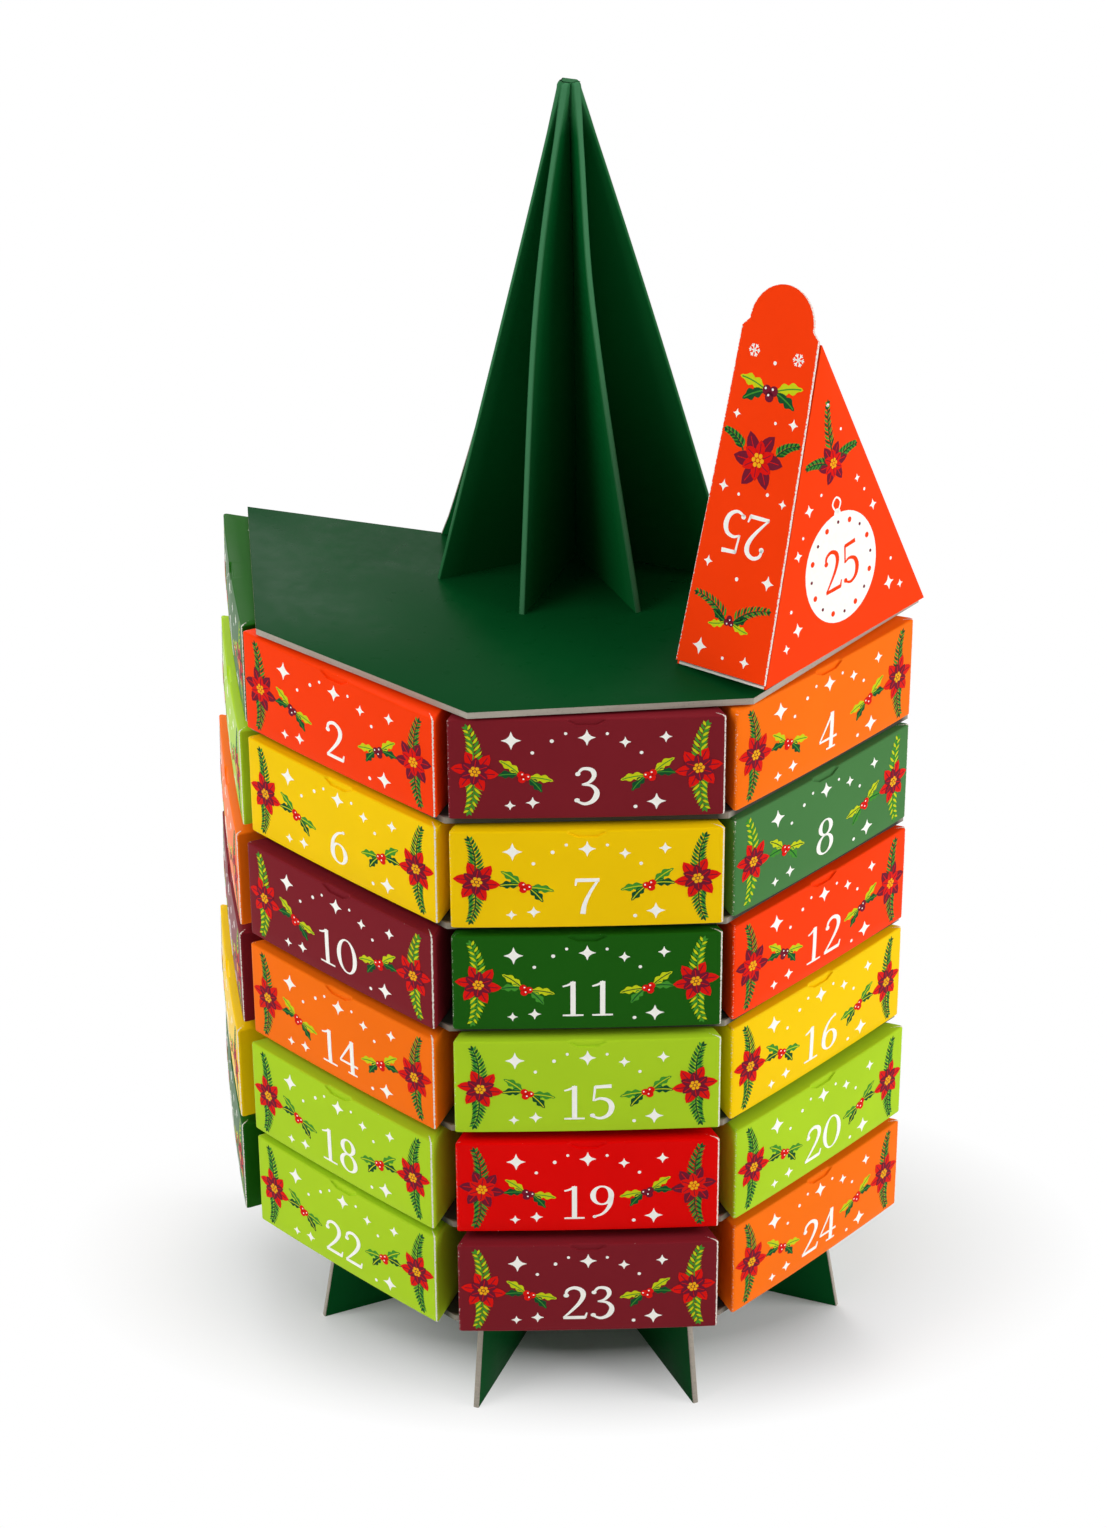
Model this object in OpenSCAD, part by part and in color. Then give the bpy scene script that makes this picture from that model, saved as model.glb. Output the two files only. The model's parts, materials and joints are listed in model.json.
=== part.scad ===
// Tea advent calendar. A fan of five green radial boards stands on its own edges and ends in a
// tree. Slotted half octagon boards make six tiers of four compartments, a wedge carton slides
// into each, and one more carton stands on the top board. Every carton holds a tea sachet.
// The origin is on the floor at the spine of the fan, +Z is up and the cartons face -Y.

/* [Wedge cartons] */
// Width of a carton's front panel
face_w = 69; // [60:0.5:80]
// Height of a carton
box_h = 28; // [20:0.5:40]
// Thickness of the carton board
carton_t = 0.6; // [0.4:0.1:1]
// How far a front panel bulges at its middle
face_crown = 0.6; // [0.3:0.1:3]
// Turn of each column's front panels about their first corner, first column to last
front_turns = [4.5, 0, 0, 0]; // [0:0.5:6]
// Clearance between a carton and the radial board beside it
box_gap = 0.4; // [0.3:0.05:0.8]
// Width of the thumb notch in a front panel's top edge
notch_w = 10; // [6:0.5:16]
// Depth of the thumb notch
notch_d = 1.8; // [1:0.1:3]

/* [Fan of radial boards] */
// Thickness of a radial board
fin_t = 1.6; // [1:0.1:2]
// Direction of the first radial board, which is not opened quite flat
first_fin = 184; // [180:0.5:186]
// Overall height, floor to tree tip
tree_top = 355; // [300:1:400]
// Radius of each tree fin where it leaves the top board, first to last
tree_rs = [37, 39, 39, 39, 43.5]; // [30:0.5:50]
// Radius of the tree at its blunt tip
tip_r = 3; // [2.5:0.1:4]
// Radius of the dividers between the cartons
divider_r = 70; // [60:1:75]
// Radius of the feet on the floor
foot_r = 79; // [76:1:84]

/* [Tier boards] */
// Thickness of a tier board
board_t = 2; // [1.5:0.1:2.5]
// Radius of a tier board's corners
board_r = 92; // [88:1:94]
// Height of the lowest carton floor above the ground
floor_h = 41; // [25:1:50]
// Headroom above each carton
tier_gap = 0.8; // [0.6:0.1:1.5]
// Turn of the loose top board about the spine
top_turn = 4; // [0:0.5:5]
// Clearance of the slots around the radial boards
slot_gap = 0.2; // [0.1:0.05:0.4]

/* [Standing carton] */
// Width of its base panel
stand_w = 65; // [60:0.5:70]
// Lean towards the tree
stand_lean = 4.5; // [0:0.5:8]
// Extra lean of its outer triangle, so that the carton narrows towards its point
stand_taper = 3.2; // [0:0.1:4]
// Distance of its inner base edge from the spine
stand_out = 60.5; // [58:0.5:66]
// Shift along the last column's front
stand_side = 1; // [-4:0.5:6]
// Turn about the spine from the last column's direction
stand_turn = 2.5; // [0:0.5:4]
// Radius of the round pull tab on its lid
tab_r = 9.8; // [6:0.1:10]

/* [Cartons left pulled out] */
// First column, top tier to bottom tier
pull_1 = [0, 2, 4, 4.5, 6.5, 6.5]; // [0:0.5:12]
// Second column
pull_2 = [1, 1, 3, 3.5, 5, 4.5]; // [0:0.5:12]
// Third column
pull_3 = [0, 1.5, 1, 2.5, 3.5, 6]; // [0:0.5:12]
// Fourth column
pull_4 = [0, 0, 0.5, 0.5, 2.5, 2.5]; // [0:0.5:12]

/* [Tea sachets] */
// Thickness of a sachet
sachet_t = 12; // [6:0.5:18]
// Length of a sachet along its carton
sachet_l = 48; // [30:1:55]
// Clearance between a sachet and its carton's sides
sachet_gap = 1.5; // [1:0.1:3]

/* [Hidden] */
columns = 4;
tiers = 6;
count = columns * tiers;
last = count + 1;
half = 22.5;
eps = 0.01;
arc_steps = 8;
fin_dirs = [first_fin, 225, 270, 315, 360];
column_dirs = [for (c = [0:columns - 1]) (fin_dirs[c] + fin_dirs[c + 1]) / 2];
pulls = [pull_1, pull_2, pull_3, pull_4];

// Heights
pitch = box_h + board_t + tier_gap;
rest_gap = tier_gap / 4;
top_z = floor_h + tiers * pitch;
shelf_zs = [for (t = [1:tiers - 1]) floor_h + t * pitch - board_t];

// Radial boards
spine_r = fin_t / 2 / tan(half) + 0.07;
shoulder_r = divider_r + 2;
notch_r = divider_r - 2;
tip_drop = 2;
tip_cut = (tip_r - spine_r) / 2;

// Wedge cartons
wedge_l = face_w / 2 / tan(half);
inset = carton_t / sin(half);

// Standing carton and its lid
stand_h = stand_w / 2 / tan(half);
stand_dir = column_dirs[columns - 1] + stand_turn;
lid_gap = 0.3;
lid_low = 1;
lid_past = 3.5;
lid_l = stand_h / cos(half) - lid_low + lid_past;
lid_cut = 2;
lid_end_w = box_h - lid_l * cos(half) * tan(stand_taper);
tab_v = lid_l - 1;

// Print colours of the cartons, row by row
red_orange = "#F6400A";
orange = "#FA7814";
yellow = "#F7CB06";
lime = "#A5D52A";
mid_green = "#3F8449";
dark_green = "#1B5A0F";
red = "#D10A06";
maroon = "#6F1E2B";
carton_colours = [
    dark_green, red_orange, maroon, orange,
    lime, yellow, yellow, mid_green,
    orange, maroon, dark_green, red_orange,
    maroon, orange, lime, yellow,
    yellow, lime, red, lime,
    dark_green, lime, maroon, orange,
    red_orange
];

function two_digits(n) = str(n < 10 ? "0" : "", n);
function box_name(n) = str("box_", two_digits(n));
function sachet_name(n) = str("sachet_", two_digits(n));
function fin_name(k) = str("radial_board_", k + 1);
function column_of(n) = (n - 1) % columns;
function tier_of(n) = floor((n - 1) / columns);
function floor_z(n) = floor_h + (tiers - 1 - tier_of(n)) * pitch + rest_gap;

// Distance of a carton's point from the spine when it is pushed home between two radial boards
// that stand plus and minus phi from its axis
function home_tip(phi) =
    let (
        edge = [
            divider_r * cos(phi) + fin_t / 2 * sin(phi),
            divider_r * sin(phi) - fin_t / 2 * cos(phi)
        ]
    )
    edge.x - (edge.y - box_gap / cos(half)) / tan(half);

function box_tip(n) =
    let (c = column_of(n))
    home_tip((fin_dirs[c + 1] - fin_dirs[c]) / 2) + pulls[c][tier_of(n)];

// Length of a carton's second side, as a share of its first side, when its front is turned
function second_side(turn) =
    let (narrowing = tan(turn) * tan(half))
    (1 - narrowing) / (1 + narrowing);

// First and second corner of a front panel that is turned about its first corner
function front_ends(tip, front, turn) =
    let (
        length = front - tip,
        second = length * second_side(turn)
    )
    [
        [front, -length * tan(half)],
        [tip + second, second * tan(half)]
    ];

// First corner of the inner face of a front panel
function inner_front(front, turn) =
    let (narrowing = tan(turn) * tan(half))
    front - (carton_t / cos(turn) + inset * narrowing) / (1 - narrowing);

// Wedge seen from above, its point towards the spine and its front bulged as a parabola
function wedge(tip, front, turn) =
    let (
        ends = front_ends(tip, front, turn),
        out = [cos(turn), sin(turn)]
    )
    concat(
        [[tip, 0]],
        [
            for (i = [0:arc_steps])
                let (s = i / arc_steps)
                ends[0] + s * (ends[1] - ends[0]) + 4 * s * (1 - s) * face_crown * out
        ]
    );

// Outline of a radial board: foot, divider, shoulder under the top board, tree
function fin_outline(inner, tree_r) = [
    [inner, 0],
    [foot_r, 0],
    [shoulder_r, floor_h - board_t],
    [divider_r, floor_h - board_t],
    [divider_r, top_z - board_t],
    [tree_r, top_z - board_t],
    [tree_r, top_z],
    [tip_r, tree_top - tip_drop],
    [tip_r - tip_cut, tree_top],
    [inner, tree_top]
];

// Fan of corners of a tier board
function fan(dirs) = concat(
    [[0, 0]],
    [for (d = dirs) board_r * [cos(d), sin(d)]]
);

module in_column(n) {
    rotate([0, 0, column_dirs[column_of(n)]])
        translate([0, 0, floor_z(n)])
            children();
}

module on_top_board() {
    rotate([0, 0, stand_dir])
        translate([stand_out, stand_side, top_z + rest_gap])
            rotate([0, -stand_lean, 0])
                children();
}

// Lays a plan drawn in the standing carton's side face upright, box_h deep
module stand_prism(points, from, depth) {
    translate([from, 0, 0])
        rotate([90, 0, 90])
            linear_extrude(depth)
                polygon(points);
}

// Places a sheet that is drawn along the carton's open side, with its fold on the X axis
module lid_side() {
    translate([0, -stand_w / 2, 0])
        rotate([90 - half, 0, 0])
            children();
}

module radial_board(k) {
    inner = k == columns ? -spine_r + eps : spine_r;
    color("#0A3F22")
        rotate([90, 0, fin_dirs[k]])
            translate([0, 0, -fin_t / 2])
                linear_extrude(fin_t)
                    difference() {
                        polygon(fin_outline(inner, tree_rs[k]));
                        for (z = shelf_zs)
                            translate([notch_r, z - slot_gap / 2])
                                square([divider_r, board_t + slot_gap]);
                    }
}

// A half octagon board at a height, slotted for the five radial boards
module tier_board(z, dirs, slot_rs) {
    slot_w = fin_t + 2 * slot_gap;
    translate([0, 0, z])
        linear_extrude(board_t)
            difference() {
                polygon(fan(dirs));
                for (k = [0:columns])
                    rotate(fin_dirs[k])
                        translate([-spine_r, -slot_w / 2])
                            square([spine_r + slot_rs[k] + slot_gap, slot_w]);
                spine_notch(slot_rs);
            }
}

// Clears the strip that a turned board would leave behind the two outer radial boards
module spine_notch(slot_rs) {
    left = (slot_rs[0] + slot_gap) * cos(first_fin - 180);
    right = slot_rs[columns] + slot_gap;
    translate([-left, -fin_t / 2])
        square([left + right, board_r]);
}

module top_board() {
    color("#0B4B28")
        tier_board(top_z - board_t, [for (d = [180:45:360]) d + top_turn], tree_rs);
}

module shelf_boards() {
    color("#A39C90")
        for (z = shelf_zs)
            tier_board(z, fin_dirs, [for (d = fin_dirs) notch_r]);
}

module bottom_board() {
    color("#A39C90")
        tier_board(floor_h - board_t, fin_dirs, [for (d = fin_dirs) divider_r]);
}

module carton(n) {
    tip = box_tip(n);
    front = tip + wedge_l;
    turn = front_turns[column_of(n)];
    color(carton_colours[n - 1])
        in_column(n)
            difference() {
                linear_extrude(box_h)
                    polygon(wedge(tip, front, turn));
                translate([0, 0, carton_t])
                    linear_extrude(box_h - 2 * carton_t)
                        polygon(wedge(tip + inset, inner_front(front, turn), turn));
                thumb_notch(front_ends(tip, front, turn), turn);
            }
}

// Shallow notch with chamfered ends through the front panel's top edge
module thumb_notch(ends, turn) {
    middle = (ends[0] + ends[1]) / 2;
    translate([middle.x, middle.y, box_h])
        rotate([0, 0, turn])
            translate([face_crown - carton_t - notch_d / 4, 0, 0])
                rotate([90, 0, 90])
                    linear_extrude(carton_t + notch_d)
                        polygon([
                            [-notch_w / 2, eps],
                            [-notch_w / 4, -notch_d],
                            [notch_w / 4, -notch_d],
                            [notch_w / 2, eps]
                        ]);
}

// Keeps what lies on the tree's side of the standing carton's outer triangle, drawn in by a wall
module behind_outer_triangle(wall) {
    reach = 4 * stand_w;
    intersection() {
        children();
        translate([box_h - wall / cos(stand_taper), 0, 0])
            rotate([0, -stand_taper, 0])
                translate([-reach, -reach / 2, -reach / 2])
                    cube(reach);
    }
}

// The carton that stands on its front panel, open on the side that the lid closes
module standing_carton() {
    floor_w = stand_w / 2 - carton_t / tan((90 - half) / 2);
    color(carton_colours[count])
        on_top_board()
            difference() {
                behind_outer_triangle(0)
                    stand_prism([[-stand_w / 2, 0], [stand_w / 2, 0], [0, stand_h]], 0, box_h);
                behind_outer_triangle(carton_t)
                    stand_prism(
                        [
                            [-stand_w, carton_t],
                            [floor_w, carton_t],
                            [0, stand_h - inset],
                            [-stand_w, stand_h - inset]
                        ],
                        carton_t,
                        box_h
                    );
            }
}

// Side panel that folds open about its lower edge, with a round pull tab at the top
module lid_25() {
    color(carton_colours[count])
        on_top_board()
            lid_side()
                translate([0, lid_low, lid_gap])
                    linear_extrude(carton_t) {
                        polygon([
                            [0, 0],
                            [box_h, 0],
                            [lid_end_w, tab_v - lid_cut],
                            [lid_end_w / 2 + tab_r, tab_v],
                            [lid_end_w / 2 - tab_r, tab_v],
                            [0, tab_v - lid_cut]
                        ]);
                        translate([lid_end_w / 2, tab_v])
                            circle(r = tab_r, $fn = 64);
                    }
}

// Flat sachet outline, as wide as its carton allows, its narrow end towards the point
function sachet_outline(length, end) =
    let (
        start = end - length,
        slack = sachet_gap / cos(half)
    )
    [
        [start, -start * tan(half) + slack],
        [end, -end * tan(half) + slack],
        [end, end * tan(half) - slack],
        [start, start * tan(half) - slack]
    ];

module sachet(n) {
    tip = box_tip(n) + inset;
    set_back = wedge_l * (1 - second_side(front_turns[column_of(n)]));
    color("#E9E2D0")
        in_column(n)
            translate([tip, 0, carton_t + rest_gap])
                linear_extrude(sachet_t)
                    polygon(sachet_outline(sachet_l, wedge_l - inset - sachet_gap - set_back));
}

// The standing carton's sachet stands on its wide end against the inner side
module standing_sachet() {
    tip_z = stand_h - inset;
    color("#E9E2D0")
        on_top_board()
            translate([carton_t + rest_gap, 0, tip_z])
                rotate([0, 90, 0])
                    linear_extrude(sachet_t)
                        polygon(sachet_outline(sachet_l, tip_z - carton_t - rest_gap));
}

for (k = [0:columns])
    radial_board(k);
top_board();
shelf_boards();
bottom_board();
for (n = [1:count]) {
    carton(n);
    sachet(n);
}
standing_carton();
lid_25();
standing_sachet();
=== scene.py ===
"""A paperboard tea advent calendar, dressed for its picture.

Five radial boards and the slotted boards between them make a tower with a tree on top. Twenty-four
printed wedge cartons slide into it, and one more stands on the top board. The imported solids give
every place and size, and the surfaces made here stand in for them. Lengths are metres, except in
the print, which is drawn in millimetres.
"""

import json
import math

import bmesh
import bpy
import numpy as np
from bpy.props import FloatProperty, FloatVectorProperty, PointerProperty
from bpy.types import Operator, Panel, PropertyGroup
from mathutils import Matrix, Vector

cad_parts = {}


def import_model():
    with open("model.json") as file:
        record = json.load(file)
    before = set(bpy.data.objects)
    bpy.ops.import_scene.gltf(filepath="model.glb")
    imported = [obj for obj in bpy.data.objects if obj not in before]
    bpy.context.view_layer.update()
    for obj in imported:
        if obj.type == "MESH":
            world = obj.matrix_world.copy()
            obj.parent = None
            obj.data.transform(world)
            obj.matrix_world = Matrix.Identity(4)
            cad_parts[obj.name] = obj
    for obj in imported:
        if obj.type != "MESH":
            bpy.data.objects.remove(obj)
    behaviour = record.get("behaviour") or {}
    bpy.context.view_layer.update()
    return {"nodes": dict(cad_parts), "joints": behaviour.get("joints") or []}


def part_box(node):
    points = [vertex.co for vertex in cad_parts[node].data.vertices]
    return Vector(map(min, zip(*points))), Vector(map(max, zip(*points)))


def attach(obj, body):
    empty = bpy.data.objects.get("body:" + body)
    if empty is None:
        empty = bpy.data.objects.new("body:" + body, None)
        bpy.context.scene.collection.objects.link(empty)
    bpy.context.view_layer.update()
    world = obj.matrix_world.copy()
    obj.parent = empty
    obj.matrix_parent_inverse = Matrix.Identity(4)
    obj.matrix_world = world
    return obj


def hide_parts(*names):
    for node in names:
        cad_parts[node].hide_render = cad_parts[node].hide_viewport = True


bl_info = {
    "name": "Tea advent calendar",
    "version": (1, 0, 0),
    "blender": (4, 5, 0),
    "location": "3D View > Sidebar > Calendar",
    "description": "Dresses a paperboard tea calendar with printed cartons",
    "category": "Object",
}

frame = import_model()
MM = 0.001
LAST = 25
JOINTS = {joint["name"]: joint for joint in frame["joints"]}


# Colours and sizes that a user would change

def linear(code):
    """A colour as it is written for a screen, such as F53B0A, in the linear values of a shader."""
    rgb = np.array([int(code[i:i + 2], 16) for i in (0, 2, 4)]) / 255
    return tuple(np.where(rgb <= 0.04045, rgb / 12.92, ((rgb + 0.055) / 1.055) ** 2.4))


def colour(name, text, code):
    return FloatVectorProperty(
        name=name, description=text, subtype="COLOR", size=3, min=0, max=1, default=linear(code))


def length(name, text, value):
    return FloatProperty(
        name=name, description=text, default=value, unit="LENGTH", precision=5)


def degrees(name, text, value):
    return FloatProperty(
        name=name, description=text, default=math.radians(value), subtype="ANGLE")


def factor(name, text, value):
    return FloatProperty(
        name=name, description=text, default=value, min=0, max=1, subtype="FACTOR")


def power(name, value):
    return FloatProperty(name=name, description="Power of the lamp", default=value, unit="POWER")


class CartonLook(PropertyGroup):
    """Folds, notch and print colours of the cartons."""
    fold: length("Fold radius", "Radius of the folds round the top and floor panels", 0.00045)
    corner: length("Corner softening", "How far a front corner is rounded off", 0.001)
    bulge: length("Upright bulge", "How far a front swells halfway up", 0.0005)
    notch_width: length("Notch width", "Width of the thumb notch", 0.010)
    notch_depth: length("Notch depth", "Depth of the thumb notch below the top fold", 0.0013)
    notch_step: length("Notch step", "How far the panel behind the notch lies back", 0.00055)
    board: length("Board thickness", "Thickness of the carton board", 0.0006)
    gloss: factor("Roughness", "Roughness of the varnished print", 0.32)
    shine: factor("Shine", "Specular level of the varnished print", 0.025)
    red_orange: colour("Red orange", "Print colour", "FF3E08")
    orange: colour("Orange", "Print colour", "FA720F")
    yellow: colour("Yellow", "Print colour", "F7CB06")
    lime: colour("Lime", "Print colour", "ACD226")
    # Carton 8's print: the dark green made paler here as a painted sheen for the glare on the
    # right-hand column
    mid_green: colour("Mid green", "Print colour", "487C44")
    dark_green: colour("Dark green", "Print colour", "1B5A0F")
    red: colour("Red", "Print colour", "E30604")
    maroon: colour("Maroon", "Print colour", "7B1E27")
    white_board: colour("Unprinted board", "Inside and cut edges of the cartons", "E9E4DA")


class InkLook(PropertyGroup):
    """Inks of the ornaments and numbers."""
    numeral: length("Numeral height", "Height of the numbers on the fronts", 0.0108)
    film: length("Ink film", "Step between two layers of ink", 0.00003)
    cream: colour("Cream", "Numbers, stars and medallions", "FFFDF4")
    scarlet: colour("Scarlet", "Petals and berries", "E01812")
    wine: colour("Wine", "Darker petals and berries", "741B30")
    fir: colour("Fir green", "Dark leaves and needles", "17502B")
    leaf: colour("Leaf green", "Middle leaves and needles", "43932F")
    sprout: colour("Sprout", "Yellow green leaves and veins", "C9D21A")
    gold: colour("Gold", "Flower hearts", "F6B21B")


class BoardLook(PropertyGroup):
    """Radial boards and tier boards."""
    nose: length("Edge rounding", "How far a cut edge is rounded", 0.0003)
    sway: length("Tree sway", "Scale of the fins' sideways bows", 0.001)
    lean: length("Tree lean", "How far the tree's tip leans over", 0.0015)
    green: colour("Green paper", "Paper on the top board", "04411B")
    # The radial boards' green paper, made lighter than the top board's as painted light on fin faces
    # that the lamps barely reach
    tree: colour("Tree paper", "Paper on the radial boards", "054F21")
    # Paler green painted on the fins' edges as a highlight
    green_edge: colour("Green edge", "Edges of the tree fins", "437F56")
    shine: factor("Shine", "Specular level of the covering paper", 0.02)
    # Grey board, also kept at the shelf boards' outer corners outside their painted shade
    grey: colour("Grey board", "Raw cut edges and rubbed corners", "ABA396")
    # Shelf and bottom boards: a dark colour painted as the shade between the tiers
    shelf: colour("Shelf board", "Shelf boards between the tiers", "35362C")


class SachetLook(PropertyGroup):
    """Tea sachets."""
    seal: length("Seal width", "Width of the crimped seal", 0.004)
    crimp: length("Crimp height", "Height of the crimp's ripples", 0.00018)
    paper: colour("Filter paper", "Colour of the sachet paper", "E9E2D0")
    tea: colour("Tea", "Tea that shows through the paper", "8A6A3C")


class StageLook(PropertyGroup):
    """Camera, floor and lamps."""
    azimuth: degrees("Azimuth", "Camera's turn to the right of the front", 21.14)
    elevation: degrees("Elevation", "Camera's height above the horizon", 29.641)
    roll: degrees("Roll", "Camera's turn about its own line of sight", -0.338)
    distance: length("Distance", "Camera to the point it looks at", 1.082384)
    aim_right: length("Aim right", "Point looked at, to the right of the spine", -0.00614)
    aim_up: length("Aim up", "Point looked at, above the floor", 0.161163)
    lens: FloatProperty(name="Lens", description="Focal length in mm", default=94.24)
    sky: FloatProperty(name="Sky", description="Strength of the even light", default=0.24)
    left: power("Left lamp", 13.5)
    right: power("Right lamp", 15.0)
    top: power("Top lamp", 6.0)
    rim: power("Rim lamp", 3.5)
    floor: colour("Floor", "Colour of the floor", "FAFAFA")


GROUPS = {
    "calendar_cartons": CartonLook,
    "calendar_inks": InkLook,
    "calendar_boards": BoardLook,
    "calendar_sachets": SachetLook,
    "calendar_stage": StageLook,
}


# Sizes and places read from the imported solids

def node_points(node):
    """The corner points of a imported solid, one row each."""
    vertices = frame["nodes"][node].data.vertices
    flat = np.empty(len(vertices) * 3, np.float32)
    vertices.foreach_get("co", flat)
    return flat.reshape(-1, 3).astype(float)


class Place:
    """A local frame: x leaves a panel, y runs level to its reader's right, z climbs."""

    def __init__(self, origin, x_axis):
        x_axis = np.array(x_axis, float) / np.linalg.norm(x_axis)
        y_axis = np.array([-x_axis[1], x_axis[0], 0.0])
        y_axis /= np.linalg.norm(y_axis)
        self.origin = np.array(origin, float)
        self.axes = np.array([x_axis, y_axis, np.cross(x_axis, y_axis)])

    def local(self, points):
        return (points - self.origin) @ self.axes.T

    def world(self, x, y, z):
        return self.origin + np.stack(np.broadcast_arrays(x, y, z), -1) @ self.axes


class Carton:
    """Sizes of one wedge carton, read from its solid along the way it slides."""

    def __init__(self, number):
        self.number = number
        self.node = f"box_{number:02d}"
        self.place = Place((0, 0, 0), JOINTS[self.node + "_slide"]["axis"])
        x, y, z = self.place.local(node_points(self.node)).T
        first, second = y.argmin(), y.argmax()
        self.half = -y[first]
        self.tip = x.min()
        self.front = x[first]
        across = np.array([x[second] - x[first], y[second] - y[first]])
        out = (x - x[first]) * across[1] - (y - y[first]) * across[0]
        self.crown = out.max() / np.linalg.norm(across)
        sides = np.array([x[first], x[second]]) - self.tip
        self.narrowing = (sides[0] - sides[1]) / sides.sum()
        self.floor = z.min()
        self.height = z.max() - self.floor
        self.angle = math.atan2(self.half, self.front - self.tip)

    def turned(self, x, y):
        """Points of an even wedge, drawn towards its tip by a share that grows from nought on the
        first side to its most on the second, which turns the straight front about one corner."""
        reach = np.maximum(x - self.tip, 1e-9)
        across = y / (reach * math.tan(self.angle))
        keep = (1 - self.narrowing) / (1 + self.narrowing * across)
        return self.tip + reach * keep, y * keep

    def front_face(self, look):
        """The front: a parabola across, and a shallow parabola up that fades to both ends."""
        def at(u, v, lift):
            across = u / self.half
            up = 2 * v / self.height - 1
            swell = look.bulge * (1 - up ** 2) * (1 - across ** 4)
            x = self.front + self.crown * (1 - across ** 2) + swell + lift
            return self.place.world(*self.turned(x, u), self.floor + v)
        return at

    def top_face(self):
        """The top panel, read from outside the tower: v runs from the front to the point."""
        def at(u, v, lift):
            top = self.floor + self.height + lift
            return self.place.world(*self.turned(self.front - v, u), top)
        return at


# How far the standing carton's triangles swell and its lid's tab bows out, the tab's radius, the
# clip of the lid's corners, and the width and bareness of the rubbed strip along the lid's edges
SWELL = 0.5 * MM
TAB_BOW = 0.9 * MM
TAB_RADIUS = 9.8 * MM
LID_CLIP = 2 * MM
RUB = 0.7 * MM
BARE = 0.62


class StandingCarton:
    """Sizes of the carton on the top board. Its x axis is the lid's fold, out from the tree."""

    def __init__(self):
        fold = JOINTS["lid_25_fold"]
        self.place = Place(fold["pos_m"], fold["axis"])
        x, y, z = self.place.local(node_points("box_25")).T
        self.depth = x.max() - x.min()
        self.half = (y.max() - y.min()) / 2
        self.height = z.max() - z.min()
        self.taper = x.max() - x[z > z.max() - 0.1 * MM].max()
        self.place.origin = self.place.world(x.min(), y.min() + self.half, z.min())
        self.angle = math.atan2(self.half, self.height)
        along, out = self.on_leg(self.place.local(node_points("lid_25")))
        self.lid_start = along.min()
        self.lid_end = along.max()
        self.lid_face = out.max()
        self.lid_thick = out.max() - out.min()

    def depth_at(self, climb):
        """Distance between the two triangles, which narrows evenly with the height."""
        return self.depth - self.taper * climb / self.height

    def on_leg(self, local):
        """Distances of local points along the open leg and out from it."""
        sine, cosine = math.sin(self.angle), math.cos(self.angle)
        y = local[:, 1] + self.half
        z = local[:, 2]
        return y * sine + z * cosine, z * sine - y * cosine

    def end_face(self, outer):
        """One of the two triangles, swollen a little in the middle; v climbs from the base."""
        def at(u, v, lift):
            climb = v / self.height
            edge = self.half * (1 - climb)
            share = np.clip(u / np.maximum(edge, 1e-6), -1, 1)
            out = SWELL * (1 - share ** 2) * np.sin(np.pi * np.clip(climb, 0, 1)) + lift
            if outer:
                return self.place.world(self.depth_at(v) + out, u, v)
            return self.place.world(-out, -u, v)
        return at

    def lid_surface(self):
        """The lid, read from outside: u from its middle line, v from the fold, bowed at the tab."""
        sine, cosine = math.sin(self.angle), math.cos(self.angle)

        def at(u, v, lift):
            out = self.lid_face + TAB_BOW * (v / self.lid_end) ** 4 + lift
            y = -self.half + v * sine - out * cosine
            climb = v * cosine + out * sine
            return self.place.world(self.depth_at(climb) / 2 + u, y, climb)
        return at

    def leg_surface(self):
        """The closed leg, read from outside, v from the base."""
        sine, cosine = math.sin(self.angle), math.cos(self.angle)

        def at(u, v, lift):
            y = self.half - v * sine + lift * cosine
            climb = v * cosine + lift * sine
            return self.place.world(self.depth_at(climb) / 2 - u, y, climb)
        return at


# Grids, shells and pieces

def grid_quads(rows, columns, wrap=False):
    """Quads between neighbours of a grid of points, as one array of indices."""
    row = np.arange(rows - 1)[:, None] * columns
    column = np.arange(columns if wrap else columns - 1)[None, :]
    after = (column + 1) % columns
    quads = [row + column, row + after, row + columns + after, row + columns + column]
    return np.stack(quads, -1).reshape(-1, 4)


def shell(points, quads, kinds=0, raw=0.0):
    """A surface: its points, its quads, each quad's finish and each point's value for a bare edge
    or, on the fins, a painted edge highlight.
    """
    points = points.reshape(-1, 3)
    kinds = np.broadcast_to(kinds, len(quads))
    return points, quads, kinds, np.broadcast_to(np.ravel(raw), len(points))


def closed_sheet(top, under, kind=0, under_kind=None, wall_kind=None, raw=0.0):
    """A thin solid: a grid, the same grid pushed back, and walls that join their borders."""
    rows, columns = top.shape[:2]
    index = np.arange(rows * columns).reshape(rows, columns)
    rim = np.concatenate([index[0, :-1], index[:-1, -1], index[-1, :0:-1], index[:0:-1, 0]])
    after = np.roll(rim, -1)
    back = rows * columns
    face = grid_quads(rows, columns)
    walls = np.stack([after, rim, rim + back, after + back], -1)
    quads = np.concatenate([face, face[:, ::-1] + back, walls])
    points = np.concatenate([top.reshape(-1, 3), under.reshape(-1, 3)])
    under_kind = kind if under_kind is None else under_kind
    wall_kind = kind if wall_kind is None else wall_kind
    kinds = np.repeat([kind, under_kind, wall_kind], [len(face), len(face), len(walls)])
    bare = np.tile(np.broadcast_to(raw, (rows, columns)).ravel(), 2)
    return shell(points, outwards(points, quads), kinds, bare)


def outwards(points, quads):
    """The quads of a closed surface, turned round if its signed volume comes out negative."""
    a, b, c, d = (points[quads[:, i]] - points.mean(0) for i in range(4))
    volume = (a * np.cross(b, c)).sum() + (a * np.cross(c, d)).sum()
    return quads if volume > 0 else quads[:, ::-1]


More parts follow.
